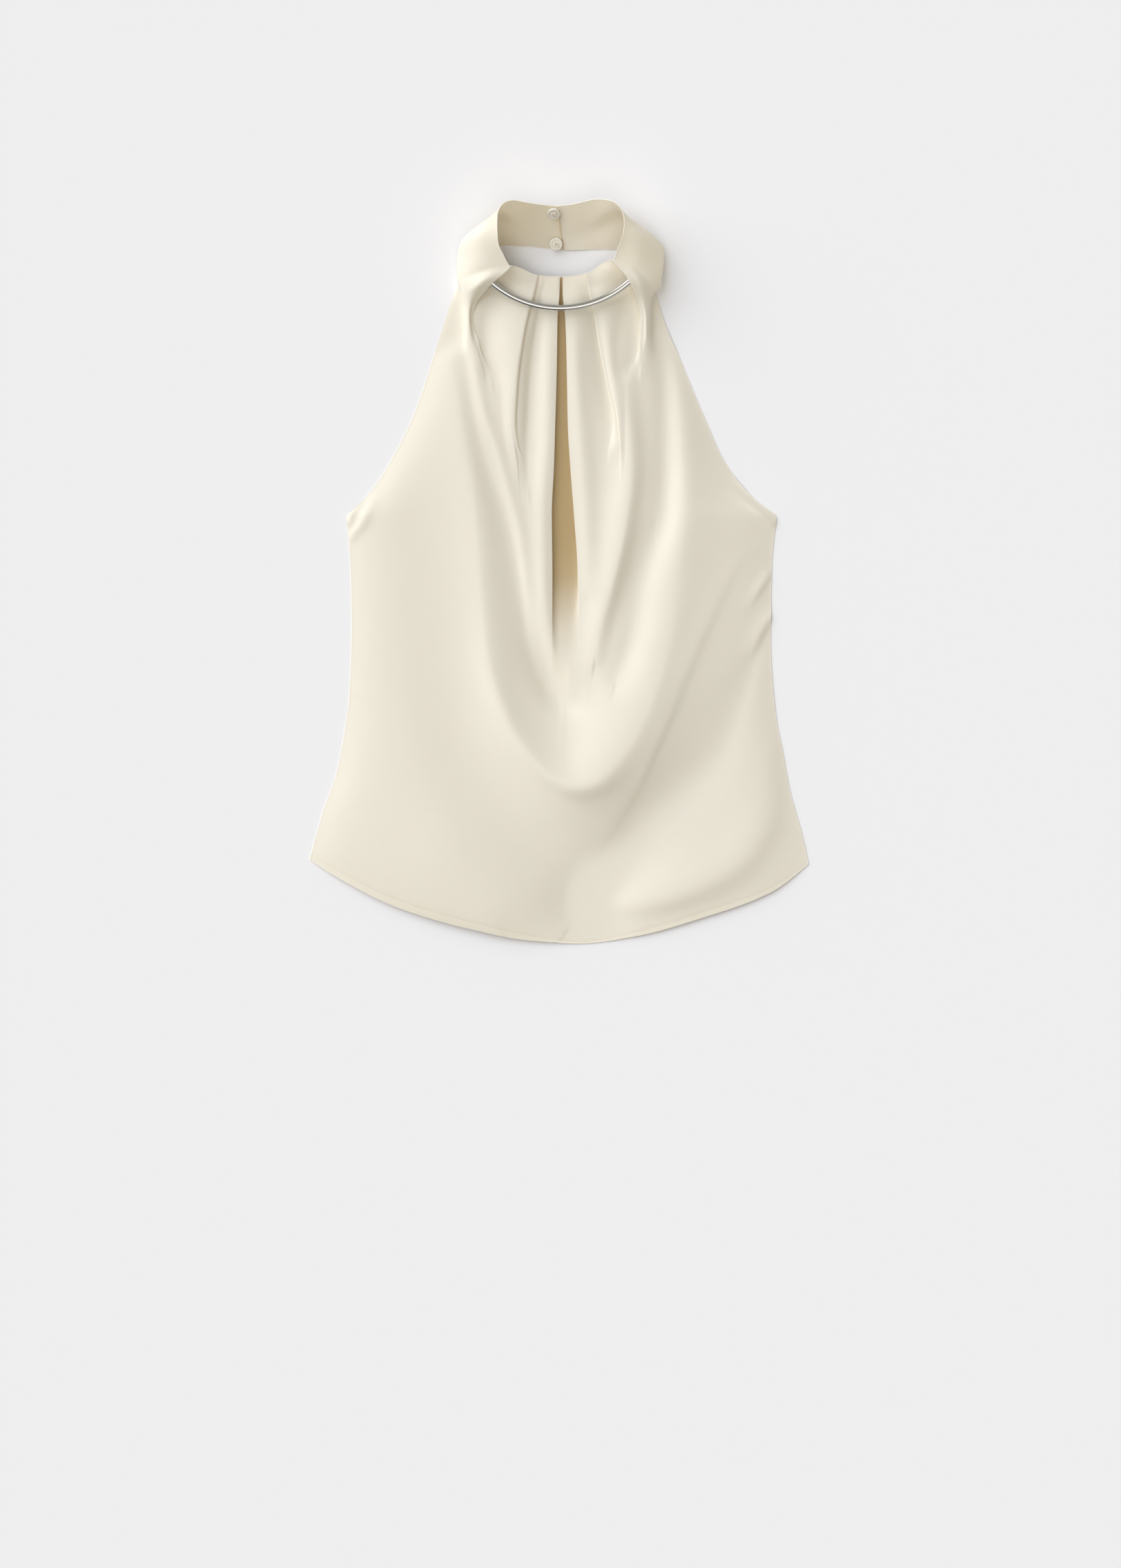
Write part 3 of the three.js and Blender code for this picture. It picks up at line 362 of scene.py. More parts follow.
linesRight = {
    "y": [-350, -200, -50, 0, 55, 100, 140, 180, 215, 240, 251, 258, 265, 271, 277.6],
    "foot": [130, 116, 98, 92, 90, 89, 89, 90, 90, 88, 87.5, 88, 88.5, 91.5, 97.5],
    "nose": [80, 74, 66, 67, 71, 72, 72.5, 73, 75.5, 76.5, 73, 69.3, 65, 57.5, 48.1],
    "pleat": [42, 44, 49, 50, 52, 54.5, 52, 43.9, 36.5, 32.5, 30, 28.4, 27, 25.8, 24.6],
    "groove": [8, 10, 18, 17.5, 14, 10.5, 8.2, 7.5, 6.8, 5.7, 4.6, 3.6, 3.4, 3.3, 3.3],
}
knee = {
    "y": [-350, -50, 175, 190, 205, 225, 240, 251, 258, 265, 271, 277.6],
    "under": [-14, -9, -8, -5, 0, 1.6, 2.4, 5, 9, 14, 18, 14],
    "step": [0, 0, 0, 1, 2, 3.5, 6, 8, 8, 8, 8, 8],
}
knifeLeft = {
    "y": [-350, 60, 85, 110, 130, 165, 240, 277.6],
    "under": [-14, -9, -7, -2.5, 2, 5, 6, 7],
    "step": [0, 0, 0.2, 1, 2, 3, 4, 2],
}
knifeRight = {
    "y": [-350, 85, 110, 130, 150, 180, 240, 277.6],
    "under": [-14, -9, -7, -2.5, 2, 5, 6, 7],
    "step": [0, 0, 1.2, 2.4, 3.2, 4, 3.6, 2],
}
groove = {
    "y": [-350, -120, -90, -60, -30, 0, 40, 205, 240, 262, 277.6],
    "left": [0, 0, 0.05, 0.35, 0.75, 1, 1, 1, 1, 1, 1],
    "right": [0, 0, 0, 0.12, 0.45, 0.85, 1, 1, 1, 1, 1],
    "depth": [0, 2, 3, 4, 5, 5, 5, 5, 5, 4, 3.5],
}
collarLeft = {
    "low": [(-93.6, 275.6, 0.6), (-89, 282, 0.6), (-82, 290, 0.6), (-74, 297, 0.6),
            (-65, 303, 0.6), (-56.5, 306.5, 0.6), (-47, 307.5, 0.6), (-38, 307, 0.6),
            (-28, 306.8, 0.6), (-16, 305.5, 0.6), (3, 303.4, 0.6), (7.5, 303.2, 0.6)],
    "turn": [(-96, 279, 7), (-96, 290, 7.5), (-95, 301, 9), (-92, 310, 11),
             (-83, 319, 13), (-70, 327, 14), (-56, 331, 14), (-42, 325, 10),
             (-30, 320, 6), (-17, 317, 4.5), (1.6, 314.8, 4), (6, 314.5, 4)],
    "face": [(-67, 285, 27), (-75, 294, 29), (-78, 306, 31), (-77, 316, 33),
             (-72, 325, 33), (-65, 333, 33), (-56, 339, 31), (-44, 338, 24),
             (-31, 334, 16.5), (-17.5, 331, 12.8), (-0.3, 328.8, 11.5), (4.2, 328.6, 11.5)],
    "top": [(-43.6, 287.3, 30), (-52, 297.5, 34), (-57, 307, 38), (-58, 317, 41),
            (-58.3, 327, 42), (-57.5, 337, 42), (-53, 345, 40), (-44, 348.6, 35),
            (-32, 347, 30), (-18, 345, 25.5), (-1.3, 343.5, 23), (3.2, 343.3, 23)],
}
collarRight = {
    "low": [(89.1, 271, 0.6), (86.5, 280, 0.6), (80, 289, 0.6), (72, 296, 0.6),
            (64, 300.5, 0.6), (55, 303.2, 0.6), (46, 304, 0.8), (37, 304.2, 1),
            (28, 304.2, 1.6), (19, 303.8, 2), (11, 303.6, 2.1), (5, 303.8, 2.1)],
    "turn": [(96.5, 283, 6.5), (99, 296, 7.5), (98, 305.5, 9), (92, 312.5, 11),
             (82, 321, 13), (71, 328, 14), (57, 332, 15), (43, 327, 11),
             (31, 321, 7.5), (20, 318, 6.2), (11, 315.5, 5.8), (3.6, 315, 5.7)],
    "face": [(70, 287, 27), (77, 296, 29), (79, 306, 31), (78, 316, 33),
             (73, 324, 33), (66, 332, 33), (57.5, 340, 32), (46, 339, 27),
             (33, 335, 19.5), (20.5, 331.5, 15.3), (11, 329, 13.6), (1.7, 328.5, 13.5)],
    "top": [(48.1, 292.5, 30), (53.5, 300, 34), (58, 309, 38), (60.5, 318, 41),
            (61.2, 327, 42), (60, 336.5, 42), (55.5, 343.8, 40.5), (47, 348.4, 38),
            (34, 349.6, 32.5), (21, 347, 28), (10.5, 344.8, 25.6), (0.7, 344, 25.3)],
}

# How fine the front is made: steps across each stretch of one half, and rows
mesh = {
    "hemRows": [0, 1, 2, 3, 4, 5, 6, 7, 8, 9.5, 11.5, 14, 17],
    "bodyRows": 160,
    "collarRows": 60,
    "side": 32,
    "strip": 16,
    "pleat": 2,
    "outerPanel": 18,
    "innerPanel": 18,
    "groove": 3,
}


def mix(a, b, f):
    return a + (b - a) * f


def ease(a, b, t):
    f = np.clip((np.asarray(t, float) - a) / (b - a), 0, 1)
    return f * f * (3 - 2 * f)


def tableAt(table, name, t):
    # smooth value between a table's rows, never past their highs and lows
    key, value = (np.array(v, float) for v in (next(iter(table.values())), table[name]))
    t = np.clip(np.asarray(t, float), key[0], key[-1])
    step = np.diff(key)
    chord = np.diff(value) / step
    product = chord[:-1] * chord[1:]
    total = np.where(product > 0, chord[:-1] + chord[1:], 1)
    slope = np.r_[0, np.where(product > 0, 2 * product / total, 0), 0]
    slope[0] = 1.5 * chord[0] - 0.5 * slope[1]
    slope[-1] = 1.5 * chord[-1] - 0.5 * slope[-2]
    i = np.clip(np.searchsorted(key, t, side="right") - 1, 0, len(step) - 1)
    f = (t - key[i]) / step[i]
    rise = (f**3 - 2 * f**2 + f) * slope[i] + (f**3 - f**2) * slope[i + 1]
    return mix(value[i], value[i + 1], f * f * (3 - 2 * f)) + rise * step[i]


def lineThrough(points, perSpan):
    # smooth curve through the points of each row, perSpan steps between neighbours
    p = np.asarray(points, float)
    gap = np.maximum(np.linalg.norm(np.diff(p[..., :3], axis=-2), axis=-1), 1e-6)[..., None] ** 0.5
    chord = np.diff(p, axis=-2) / gap
    tangent = np.empty_like(p)
    twice = (p[..., 2:, :] - p[..., :-2, :]) / (gap[..., :-1, :] + gap[..., 1:, :])
    tangent[..., 1:-1, :] = chord[..., :-1, :] + chord[..., 1:, :] - twice
    tangent[..., 0, :], tangent[..., -1, :] = chord[..., 0, :], chord[..., -1, :]
    f = (np.arange(perSpan) / perSpan)[:, None]
    a, b = p[..., :-1, None, :], p[..., 1:, None, :]
    ma, mb = (tangent[..., :-1, :] * gap)[..., None, :], (tangent[..., 1:, :] * gap)[..., None, :]
    line = mix(a, b, f * f * (3 - 2 * f)) + (f**3 - 2 * f**2 + f) * ma + (f**3 - f**2) * mb
    return np.concatenate([line.reshape(p.shape[:-2] + (-1, p.shape[-1])), p[..., -1:, :]], -2)


def evenly(line, count):
    # the same line in count equal steps
    run = np.r_[0, np.cumsum(np.linalg.norm(np.diff(line, axis=0), axis=1))]
    want = np.linspace(0, run[-1], count + 1)
    return np.stack([np.interp(want, run, line[:, k]) for k in range(line.shape[1])], 1)


def outlineX(side, armhole, y):
    return np.where(y <= cloth["underarmY"], tableAt(side, "x", y), tableAt(armhole, "x", y))


def foldLine(fold):
    rows = len(fold["x"])
    columns = [np.broadcast_to(np.array(fold[k], float), rows) for k in ("x", "y", "h", "inner", "outer")]
    return lineThrough(np.stack(columns, 1), 5)


def foldRise(x, y, folds):
    total = np.zeros_like(x)
    for fold in folds:
        line = foldLine(fold)
        reach = 2.6 * line[:, 3:].max()
        low, high = line[:, :2].min(0) - reach, line[:, :2].max(0) + reach
        near = (x > low[0]) & (x < high[0]) & (y > low[1]) & (y < high[1])
        px, py = x[near], y[near]
        rise = np.zeros(px.shape)
        weight = np.zeros(px.shape)
        for a, b in zip(line[:-1], line[1:]):
            dx, dy = b[0] - a[0], b[1] - a[1]
            f = np.clip(((px - a[0]) * dx + (py - a[1]) * dy) / (dx * dx + dy * dy), 0, 1)
            gap = np.hypot(px - a[0] - f * dx, py - a[1] - f * dy)
            outer = dx * (py - a[1]) - dy * (px - a[0]) > 0
            width = np.where(outer, mix(a[4], b[4], f), mix(a[3], b[3], f))
            value = mix(a[2], b[2], f) * np.exp(-((gap / width) ** np.where(outer, fold.get("fall", 2), 2)))
            share = (gap + 0.5) ** -5.0  # the nearest stretch counts, with a soft change-over
            rise += value * share
            weight += share
        total[near] += rise / weight
    return total


# The stitched hem: how far above the edge the seam shows, and its fine dent
hem = {
    "seamX": [-235, -150, -60, 0, 25, 80, 150, 235],
    "seam": [7, 7, 6.4, 3, 1.9, 4.4, 5.2, 4.2],
    "dent": 0.35,
    "dentWidth": 0.9,
    "stitch": 1.8,
    "stitchLength": 1.35,
    "thread": 0.22,
}


def hemGap(x, y):
    return np.maximum(0, y - cloth["hemCentreY"] - tableAt(hemRise, "rise", x / cloth["hemHalfWidth"]))


def frontHeight(x, y):
    side = np.minimum(x - outlineX(sideLeft, armholeLeft, y), outlineX(sideRight, armholeRight, y) - x)
    side = np.maximum(0, side)
    up = hemGap(x, y)
    under = cloth["underarmY"]
    rest = mix(cloth["frontRest"], cloth["tableRest"], ease(under, under + 40, y))
    spring = (cloth["neckSpring"] * np.minimum(1, ((x - 2) / cloth["neckHalfWidth"]) ** 2)
              * ease(cloth["springFromY"], cloth["springToY"], y))
    lift = tableAt(restHeight, "z", y) + foldRise(x, y, folds) + spring - rest
    roll = np.where(x < 0, cloth["rollLeft"], cloth["rollRight"])
    held = (1 - np.exp(-((side / roll) ** 1.2))) * (1 - cloth["hemHold"] * np.exp(-up / cloth["hemRoll"]))
    dent = hem["dent"] * np.exp(-(((up - tableAt(hem, "seam", x)) / hem["dentWidth"]) ** 2))
    lift = (lift + np.sqrt(lift**2 + cloth["touch"] ** 2)) / 2  # eases down on to the layer below
    return rest + (lift - dent) * held + foldRise(x, y, puckers)


halves = [
    {"side": sideLeft, "armhole": armholeLeft, "lines": linesLeft, "knife": knifeLeft,
     "strip": stripLeft, "towards": 1, "edgeDrop": -2},
    {"side": sideRight, "armhole": armholeRight, "lines": linesRight, "knife": knifeRight,
     "strip": stripRight, "towards": -1, "edgeDrop": -6.6},
]


def closeUnder(layer, x):
    # height just below a layer of cloth
    for k in range(len(layer) - 2, 0, -1):
        if (x - layer[k, 0]) * (x - layer[k + 1, 0]) <= 0:
            slope = (layer[k + 1, 2] - layer[k, 2]) / (layer[k + 1, 0] - layer[k, 0])
            return layer[k, 2] + slope * (x - layer[k, 0]) - cloth["layerGap"] * math.hypot(1, slope)
    return layer[-1, 2] - cloth["layerGap"]


def halfRows(rows, half):
    # every row of one half, from its side edge to the centre pleat
    towards, strip = half["towards"], half["strip"]
    y = rows[:, None]
    foot, nose, pleatX, grooveX = (tableAt(half["lines"], k, y) for k in ("foot", "nose", "pleat", "groove"))
    sag = np.maximum(0, (cloth["underarmY"] - y) / (cloth["underarmY"] - cloth["hemCentreY"]))
    neck = ease(cloth["neckCurveFromY"], cloth["neckCentreY"], y)
    armY = np.where(y > cloth["underarmY"], y + neck * half["edgeDrop"],
                    y + tableAt(hemRise, "rise", -towards) * sag)
    armX = outlineX(half["side"], half["armhole"], armY)

    def onCloth(x, extra=0.0):
        py = (y + tableAt(hemRise, "rise", np.clip(x / abs(armX), -1, 1)) * sag
              + tableAt(neckRise, "rise", x) * neck)
        return np.stack([x, py, frontHeight(x, py) + extra], 2)

    def pleat(edge, table, step, layer):
        # over the nose, back under it, and out again below
        under = tableAt(table, "under", y)
        folded = under >= cloth["foldedFrom"]
        flat = np.ones_like(under)
        back = np.where(folded, 1, under / 3)
        lowBack = np.where(folded, under - 1, 2 * under / 3)
        middle = np.maximum(0.5, 1 - cloth["layerGap"] / np.maximum(step, 0.1))
        runs = np.concatenate([cloth["noseRun"] * flat, cloth["noseRound"] * flat, 0 * flat,
                               back, lowBack, under, under - cloth["noseRound"]], 1)
        shares = np.concatenate([flat, flat, (1 + middle) / 2, 0.62 * flat, 0.38 * flat,
                                 middle / 2, 0 * flat], 1) * np.clip(step / 1.5, 0, 1)
        points = onCloth(edge - towards * runs)
        top = onCloth(edge, step)[..., 2]
        points[..., 2] = mix(points[..., 2], top, shares)
        for i in np.flatnonzero(folded):
            above = np.r_[layer[i], points[i, :2]]
            for k in (3, 4):
                points[i, k, 2] = closeUnder(above, points[i, k, 0])
        points[..., 5, 2] = np.minimum(points[..., 5, 2], mix(points[..., 4, 2], points[..., 6, 2], 0.5))
        return points

    bands = mesh["side"] + mesh["strip"]
    toFoot = mix(armX, foot, (np.arange(mesh["side"] + 1) / mesh["side"]) ** 1.3)
    toNose = mix(foot, nose - towards * cloth["noseRun"], np.arange(1, mesh["strip"] + 1) / mesh["strip"])
    kneeStep = tableAt(knee, "step", y)
    outer = onCloth(np.concatenate([toFoot, toNose], 1), kneeStep * ease(mesh["side"] * 0.86, bands, np.arange(bands + 1)))
    stripShare = ease(cloth["stripFromY"], cloth["stripToY"], y)
    names = ["edge", "foot", "shoulder", "crest", "nose"]
    xs = np.concatenate([tableAt(strip, n + "X", y) for n in names], 1)
    xs[:, -1] -= towards * cloth["noseRun"]
    points = onCloth(xs)
    points[..., 2] = np.concatenate([tableAt(strip, n + "Z", y) for n in names], 1)
    for i in np.flatnonzero(stripShare[:, 0] > 0):
        outer[i] = mix(outer[i], evenly(lineThrough(points[i], 12), bands), stripShare[i, 0])

    knifeStep = tableAt(half["knife"], "step", y) * pleats["knifeShare"]
    stripStep = tableAt(strip, "noseZ", y) - onCloth(nose)[..., 2]
    kneeRow = pleat(nose, knee, mix(kneeStep, stripStep, stripShare), outer)
    panel = np.arange(1, mesh["outerPanel"]) / mesh["outerPanel"]
    start = kneeRow[:, 6, :1]
    outerPanel = onCloth(mix(start, pleatX - towards * cloth["noseRun"], panel), knifeStep * ease(0, 1, panel))
    knifeRow = pleat(pleatX, half["knife"], knifeStep, outerPanel)
    panel = np.arange(1, mesh["innerPanel"]) / mesh["innerPanel"]
    innerPanel = onCloth(mix(knifeRow[:, 6, :1], grooveX, panel))
    folded = [lineThrough(row, mesh["pleat"]) for row in (kneeRow, knifeRow)]
    for line, step in zip(folded, (mix(kneeStep, stripStep, stripShare), knifeStep)):
        smooth = frontHeight(line[..., 0], line[..., 1])
        line[..., 2] = mix(smooth, line[..., 2], np.clip(step / 1.5, 0, 1))
    fine = [outer, folded[0][:, 1:], outerPanel, folded[1], innerPanel, onCloth(grooveX)]
    return np.concatenate(fine, 1)


pleats = {
    "knifeShare": 1.0,  # the knife pleats are pressed flatter than they are thick
}


def grooveRows(rows, left, right):
    # the centre pleat: down under each edge and across its floor, with the painted shade that darkens that floor
    y = rows[:, None]
    depth = tableAt(groove, "depth", y)[:, 0]
    wide = (right[:, 0] - left[:, 0]) / 2
    sides = []
    for rim, side, out in ((left, "left", -1), (right, "right", 1)):
        isOpen = tableAt(groove, side, y)[:, 0]
        under = cloth["grooveUnder"] * isOpen
        for run, share in ((under - wide * 0.3 * (1 - isOpen), 0.5), (under * 0.8 - wide * 0.62 * (1 - isOpen), 1)):
            x = rim[:, 0] + out * run
            z = frontHeight(x[:, None], rim[:, 1:2])[:, 0]
            sides.append(np.stack([x, rim[:, 1], mix(z, rim[:, 2], isOpen) - depth * isOpen * share], 1))
    inLeft, floorLeft, inRight, floorRight = sides
    points = [left, inLeft, floorLeft, mix(floorLeft, floorRight, 0.5), floorRight, inRight, right]
    line = lineThrough(np.stack(points, 1), mesh["groove"])[:, 1:-1]
    across = np.linspace(0, 1, line.shape[1] + 2)[1:-1]
    # painted shade: strongest across the middle of the floor, and only where the groove is open
    shade = mix(tableAt(groove, "left", y), tableAt(groove, "right", y), across)
    return line, shade * np.sin(across * math.pi) ** 0.3


def collarRow(stations, t, count):
    spans = len(stations["low"]) - 1
    i = min(int(t * spans), spans - 1)
    f = t * spans - i
    points = []
    for name in ("low", "turn", "face", "top"):
        p = np.array(stations[name], float)
        p = np.r_[2 * p[:1] - p[1:2], p, 2 * p[-1:] - p[-2:-1]]
        ma, mb = (p[i + 2] - p[i]) / 2, (p[i + 3] - p[i + 1]) / 2
        points.append(mix(p[i + 1], p[i + 2], f * f * (3 - 2 * f)) + (f**3 - 2 * f**2 + f) * ma + (f**3 - f**2) * mb)
    return evenly(lineThrough(points, 16), count)


def frontGrid():
    share = np.arange(mesh["bodyRows"] + 1) / mesh["bodyRows"]
    start = cloth["hemCentreY"] + mesh["hemRows"][-1]
    rows = mix(start, cloth["neckCentreY"], share * (1 + 0.32 * (1 - share)))
    rows = np.r_[cloth["hemCentreY"] + np.array(mesh["hemRows"][:-1]), rows]
    left, right = (halfRows(rows, half) for half in halves)
    middle, shade = grooveRows(rows, left[:, -1], right[:, -1])
    body = np.concatenate([left, middle, right[:, ::-1]], 1)
    bands = mesh["side"] + mesh["strip"]
    ring = np.repeat(body[-1:], mesh["collarRows"], 0)
    for i in range(mesh["collarRows"]):
        t = (i + 1) / mesh["collarRows"]
        blendIn = 1 - ease(0, 0.12, t)
        for stations, columns, edge in ((collarLeft, slice(0, bands + 1), body[-1, :bands + 1]),
                                        (collarRight, slice(-1, -bands - 2, -1), body[-1, ::-1][:bands + 1])):
            start = collarRow(stations, 0, bands)
            ring[i, columns] = collarRow(stations, t, bands) + (edge - start) * blendIn
    grid = np.concatenate([body, ring], 0)
    # painted shade on the cloth, 1 the darkest: first the centre pleat's floor
    paintedShade = np.zeros(grid.shape[:2])
    paintedShade[:len(rows), left.shape[1]:left.shape[1] + middle.shape[1]] = shade
    # painted shade on the collar's inner face, darker on the left half where the light falls least
    turned = ease(0.3, 0.5, np.arange(1, mesh["collarRows"] + 1) / mesh["collarRows"])[:, None]
    # painted shade along the slit, where the collar's right half overlaps the left
    slitShade = ease(cloth["slitShadeFrom"], 0.93, np.arange(1, mesh["collarRows"] + 1) / mesh["collarRows"])[:, None]
    paintedShade[len(rows):, :bands + 1] = np.maximum(turned * cloth["paintedShadeLeft"], slitShade)
    paintedShade[len(rows):, -bands - 1:] = turned * cloth["paintedShadeRight"]
    keep = np.ones((grid.shape[0] - 1, grid.shape[1] - 1), bool)
    keep[len(rows) - 1:, bands:-bands] = False
    return grid, paintedShade, keep, len(rows), bands


def wallMesh(name, grid, paintedShade, keep):
    # closed wall over a grid of middle points; keep says which cells have cloth
    rows, columns = grid.shape[:2]
    a, b, c, d = grid[:-1, :-1], grid[:-1, 1:], grid[1:, 1:], grid[1:, :-1]
    facing = np.cross(c - a, d - b)
    area = np.linalg.norm(facing, axis=2)
    unit = facing / np.maximum(area, 1e-9)[..., None] * keep[..., None]
    normal = np.zeros_like(grid)
    for i, k in ((0, 0), (0, 1), (1, 1), (1, 0)):
        normal[i:rows - 1 + i, k:columns - 1 + k] += unit
    normal /= np.maximum(np.linalg.norm(normal, axis=2, keepdims=True), 1e-9)
    half = normal * cloth["wall"] / 2
    points = np.r_[(grid + half).reshape(-1, 3), (grid - half).reshape(-1, 3)]
    points[:, 2] = np.maximum(points[:, 2], 0)
    number = np.arange(rows * columns).reshape(rows, columns)
    below = rows * columns
    top = np.stack([number[:-1, :-1], number[:-1, 1:], number[1:, 1:], number[1:, :-1]], 2)[keep]
    edges = set()
    for quad in top.tolist():
        for p, q in zip(quad, quad[1:] + quad[:1]):
            if (q, p) in edges:
                edges.remove((q, p))
            else:
                edges.add((p, q))
    rim = np.array([(p, p + below, q + below, q) for p, q in sorted(edges)])
    faces = np.r_[top, top[:, [0, 3, 2, 1]] + below, rim]
    used, renumbered = np.unique(faces, return_inverse=True)
    data = bpy.data.meshes.new(name)
    data.from_pydata((points[used] * mm).tolist(), [], renumbered.reshape(faces.shape).tolist())

    across = np.zeros((rows, columns))
    across[:, 1:] = np.cumsum(np.linalg.norm(np.diff(grid, axis=1), axis=2), axis=1)
    across -= across[:, columns // 2:columns // 2 + 1]
    along = np.zeros((rows, columns))
    along[1:] = np.cumsum(np.linalg.norm(np.diff(grid, axis=0), axis=2), axis=0)
    plan = np.tile(np.stack([across, along], 2).reshape(-1, 2) * mm, (2, 1))[used]
    corner = np.zeros(len(data.loops), int)
    data.loops.foreach_get("vertex_index", corner)
    data.uv_layers.new(name="clothPlan").data.foreach_set("uv", plan[corner].ravel())
    # painted shade, kept on each point for the satin's colour
    paintedShadeLayer = data.attributes.new("paintedShade", "FLOAT", "POINT")
    paintedShadeLayer.data.foreach_set("value", np.tile(paintedShade.ravel(), 2)[used])
    piece = bpy.data.objects.new(name, data)
    bpy.context.scene.collection.objects.link(piece)
    smoothByAngle(piece, 75)
    return piece, float(area[keep].sum() / 2 * mm * mm)


def smoothByAngle(piece, degrees):
    bpy.ops.object.select_all(action="DESELECT")
    piece.select_set(True)
    bpy.context.view_layer.objects.active = piece
    bpy.ops.object.shade_smooth_by_angle(angle=math.radians(degrees))


# Ivory satin: soft shine, a weave too fine to see from above; painted warm shade darkens the deep pleat, the collar's
# inner face and the slit at its back
satinLook = {
    "colour": (0.90, 0.83, 0.68, 1),
    # painted shade: the dark warm brown that stands in for the shade deep in the pleat, inside the collar and in the
    # slit
    "paintedShadeColour": (0.52, 0.37, 0.18, 1),
    "edgeColour": (0.91, 0.85, 0.72, 1),
    "roughness": 0.44,
    "specular": 0.4,
    "sheen": 0.1,
    "through": 0.25,
    "throughRadius": (1.0, 0.75, 0.45),
    "throughScale": 0.004,
    "threads": 2600,
    "weaveDepth": 0.00002,
    "driftScale": 14,
}


def newPaint(name):
    paint = bpy.data.materials.new(name)
    paint.use_nodes = True
    nodes, links = paint.node_tree.nodes, paint.node_tree.links
    return paint, nodes, links, nodes["Principled BSDF"]


def satinPaint(name, colour):
    paint, nodes, links, shader = newPaint(name)
    shader.inputs["Specular IOR Level"].default_value = satinLook["specular"]
    shader.inputs["Sheen Weight"].default_value = satinLook["sheen"]
    shader.inputs["Sheen Roughness"].default_value = 0.4
    shader.inputs["Subsurface Weight"].default_value = satinLook["through"]
    shader.inputs["Subsurface Radius"].default_value = satinLook["throughRadius"]
    shader.inputs["Subsurface Scale"].default_value = satinLook["throughScale"]
    # painted shade: the paintedShade attribute mixes the satin towards the dark shade colour
    shadeAttribute = nodes.new("ShaderNodeAttribute")
    shadeAttribute.attribute_name = "paintedShade"
    tone = nodes.new("ShaderNodeMix")
    tone.data_type = "RGBA"
    tone.inputs["A"].default_value = colour
    tone.inputs["B"].default_value = satinLook["paintedShadeColour"]
    links.new(shadeAttribute.outputs["Fac"], tone.inputs["Factor"])
    links.new(tone.outputs["Result"], shader.inputs["Base Color"])

    plan = nodes.new("ShaderNodeUVMap")
    plan.uv_map = "clothPlan"
    weft = nodes.new("ShaderNodeTexWave")
    weft.bands_direction = "Y"
    weft.inputs["Scale"].default_value = satinLook["threads"] / 20
    weft.inputs["Distortion"].default_value = 0.6
    weft.inputs["Detail"].default_value = 1
    slub = nodes.new("ShaderNodeTexNoise")
    slub.inputs["Scale"].default_value = 900
    both = nodes.new("ShaderNodeMath")
    both.operation = "ADD"
    bump = nodes.new("ShaderNodeBump")
    bump.inputs["Strength"].default_value = 0.25
    bump.inputs["Distance"].default_value = satinLook["weaveDepth"]
    links.new(plan.outputs["UV"], weft.inputs["Vector"])
    links.new(plan.outputs["UV"], slub.inputs["Vector"])
    links.new(weft.outputs["Fac"], both.inputs[0])
    links.new(slub.outputs["Fac"], both.inputs[1])
    links.new(both.outputs["Value"], bump.inputs["Height"])
    links.new(bump.outputs["Normal"], shader.inputs["Normal"])

    place = nodes.new("ShaderNodeTexCoord")
    drift = nodes.new("ShaderNodeTexNoise")
    drift.inputs["Scale"].default_value = satinLook["driftScale"]
    gloss = nodes.new("ShaderNodeMapRange")
    gloss.inputs["To Min"].default_value = satinLook["roughness"] - 0.04
    gloss.inputs["To Max"].default_value = satinLook["roughness"] + 0.04
    links.new(place.outputs["Object"], drift.inputs["Vector"])
    links.new(drift.outputs["Fac"], gloss.inputs["Value"])
    links.new(gloss.outputs["Result"], shader.inputs["Roughness"])
    return paint


satin = satinPaint("ivorySatin", satinLook["colour"])


def wear(piece, node):
    # a finished piece rides on the only body and stands for its solid, if it has one
    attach(piece, "root")
    if node:
        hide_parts(node)


def settle(piece):
    # place, turn and size go into the mesh
    bpy.ops.object.select_all(action="DESELECT")
    piece.select_set(True)
    bpy.context.view_layer.objects.active = piece
    bpy.ops.object.transform_apply(location=True, rotation=True, scale=True)


def joined(pieces, name):
    bpy.ops.object.select_all(action="DESELECT")
    for piece in pieces:
        piece.select_set(True)
    bpy.context.view_layer.objects.active = pieces[0]
    bpy.ops.object.join()
    pieces[0].name = name
    return pieces[0]


def copyOf(piece, name):
    twin = piece.copy()
    twin.data = piece.data.copy()
    twin.name = name
    bpy.context.scene.collection.objects.link(twin)
    return twin


def makeFront():
    grid, paintedShade, keep, bodyRows, bands = frontGrid()
    piece, area = wallMesh("topFront", grid, paintedShade, keep)
    piece.data.materials.append(satin)
    wear(piece, "front")
    print("front:", len(piece.data.polygons), "faces,", round(area, 4), "square metres")
    return piece, grid, bodyRows, bands, area


def makeBack():
    rows, columns = 90, 80
    share = np.linspace(0, 1, rows + 1)[:, None]
    u = np.linspace(-1, 1, columns + 1)
    y = mix(cloth["hemCentreY"], cloth["backTopY"], share)
    sag = 1 - share
    left = outlineX(sideLeft, armholeLeft, y + tableAt(hemRise, "rise", -1) * sag) + cloth["backInset"]
    right = outlineX(sideRight, armholeRight, y + tableAt(hemRise, "rise", 1) * sag) - cloth["backInset"]
    x = np.where(u < 0, left, right) * np.abs(u)
    py = y + (tableAt(hemRise, "rise", u) + cloth["backInset"]) * sag
    grid = np.stack([x, py, np.full_like(x, cloth["backRest"])], 2)
    piece, area = wallMesh("topBack", grid, np.zeros(x.shape), np.ones((rows, columns), bool))
    piece.data.materials.append(satin)
    wear(piece, "back")
    print("back:", round(area, 4), "square metres")
    return piece, area


front, frontPoints, bodyRows, bands, frontArea = makeFront()
back, backArea = makeBack()
print("cloth ready")


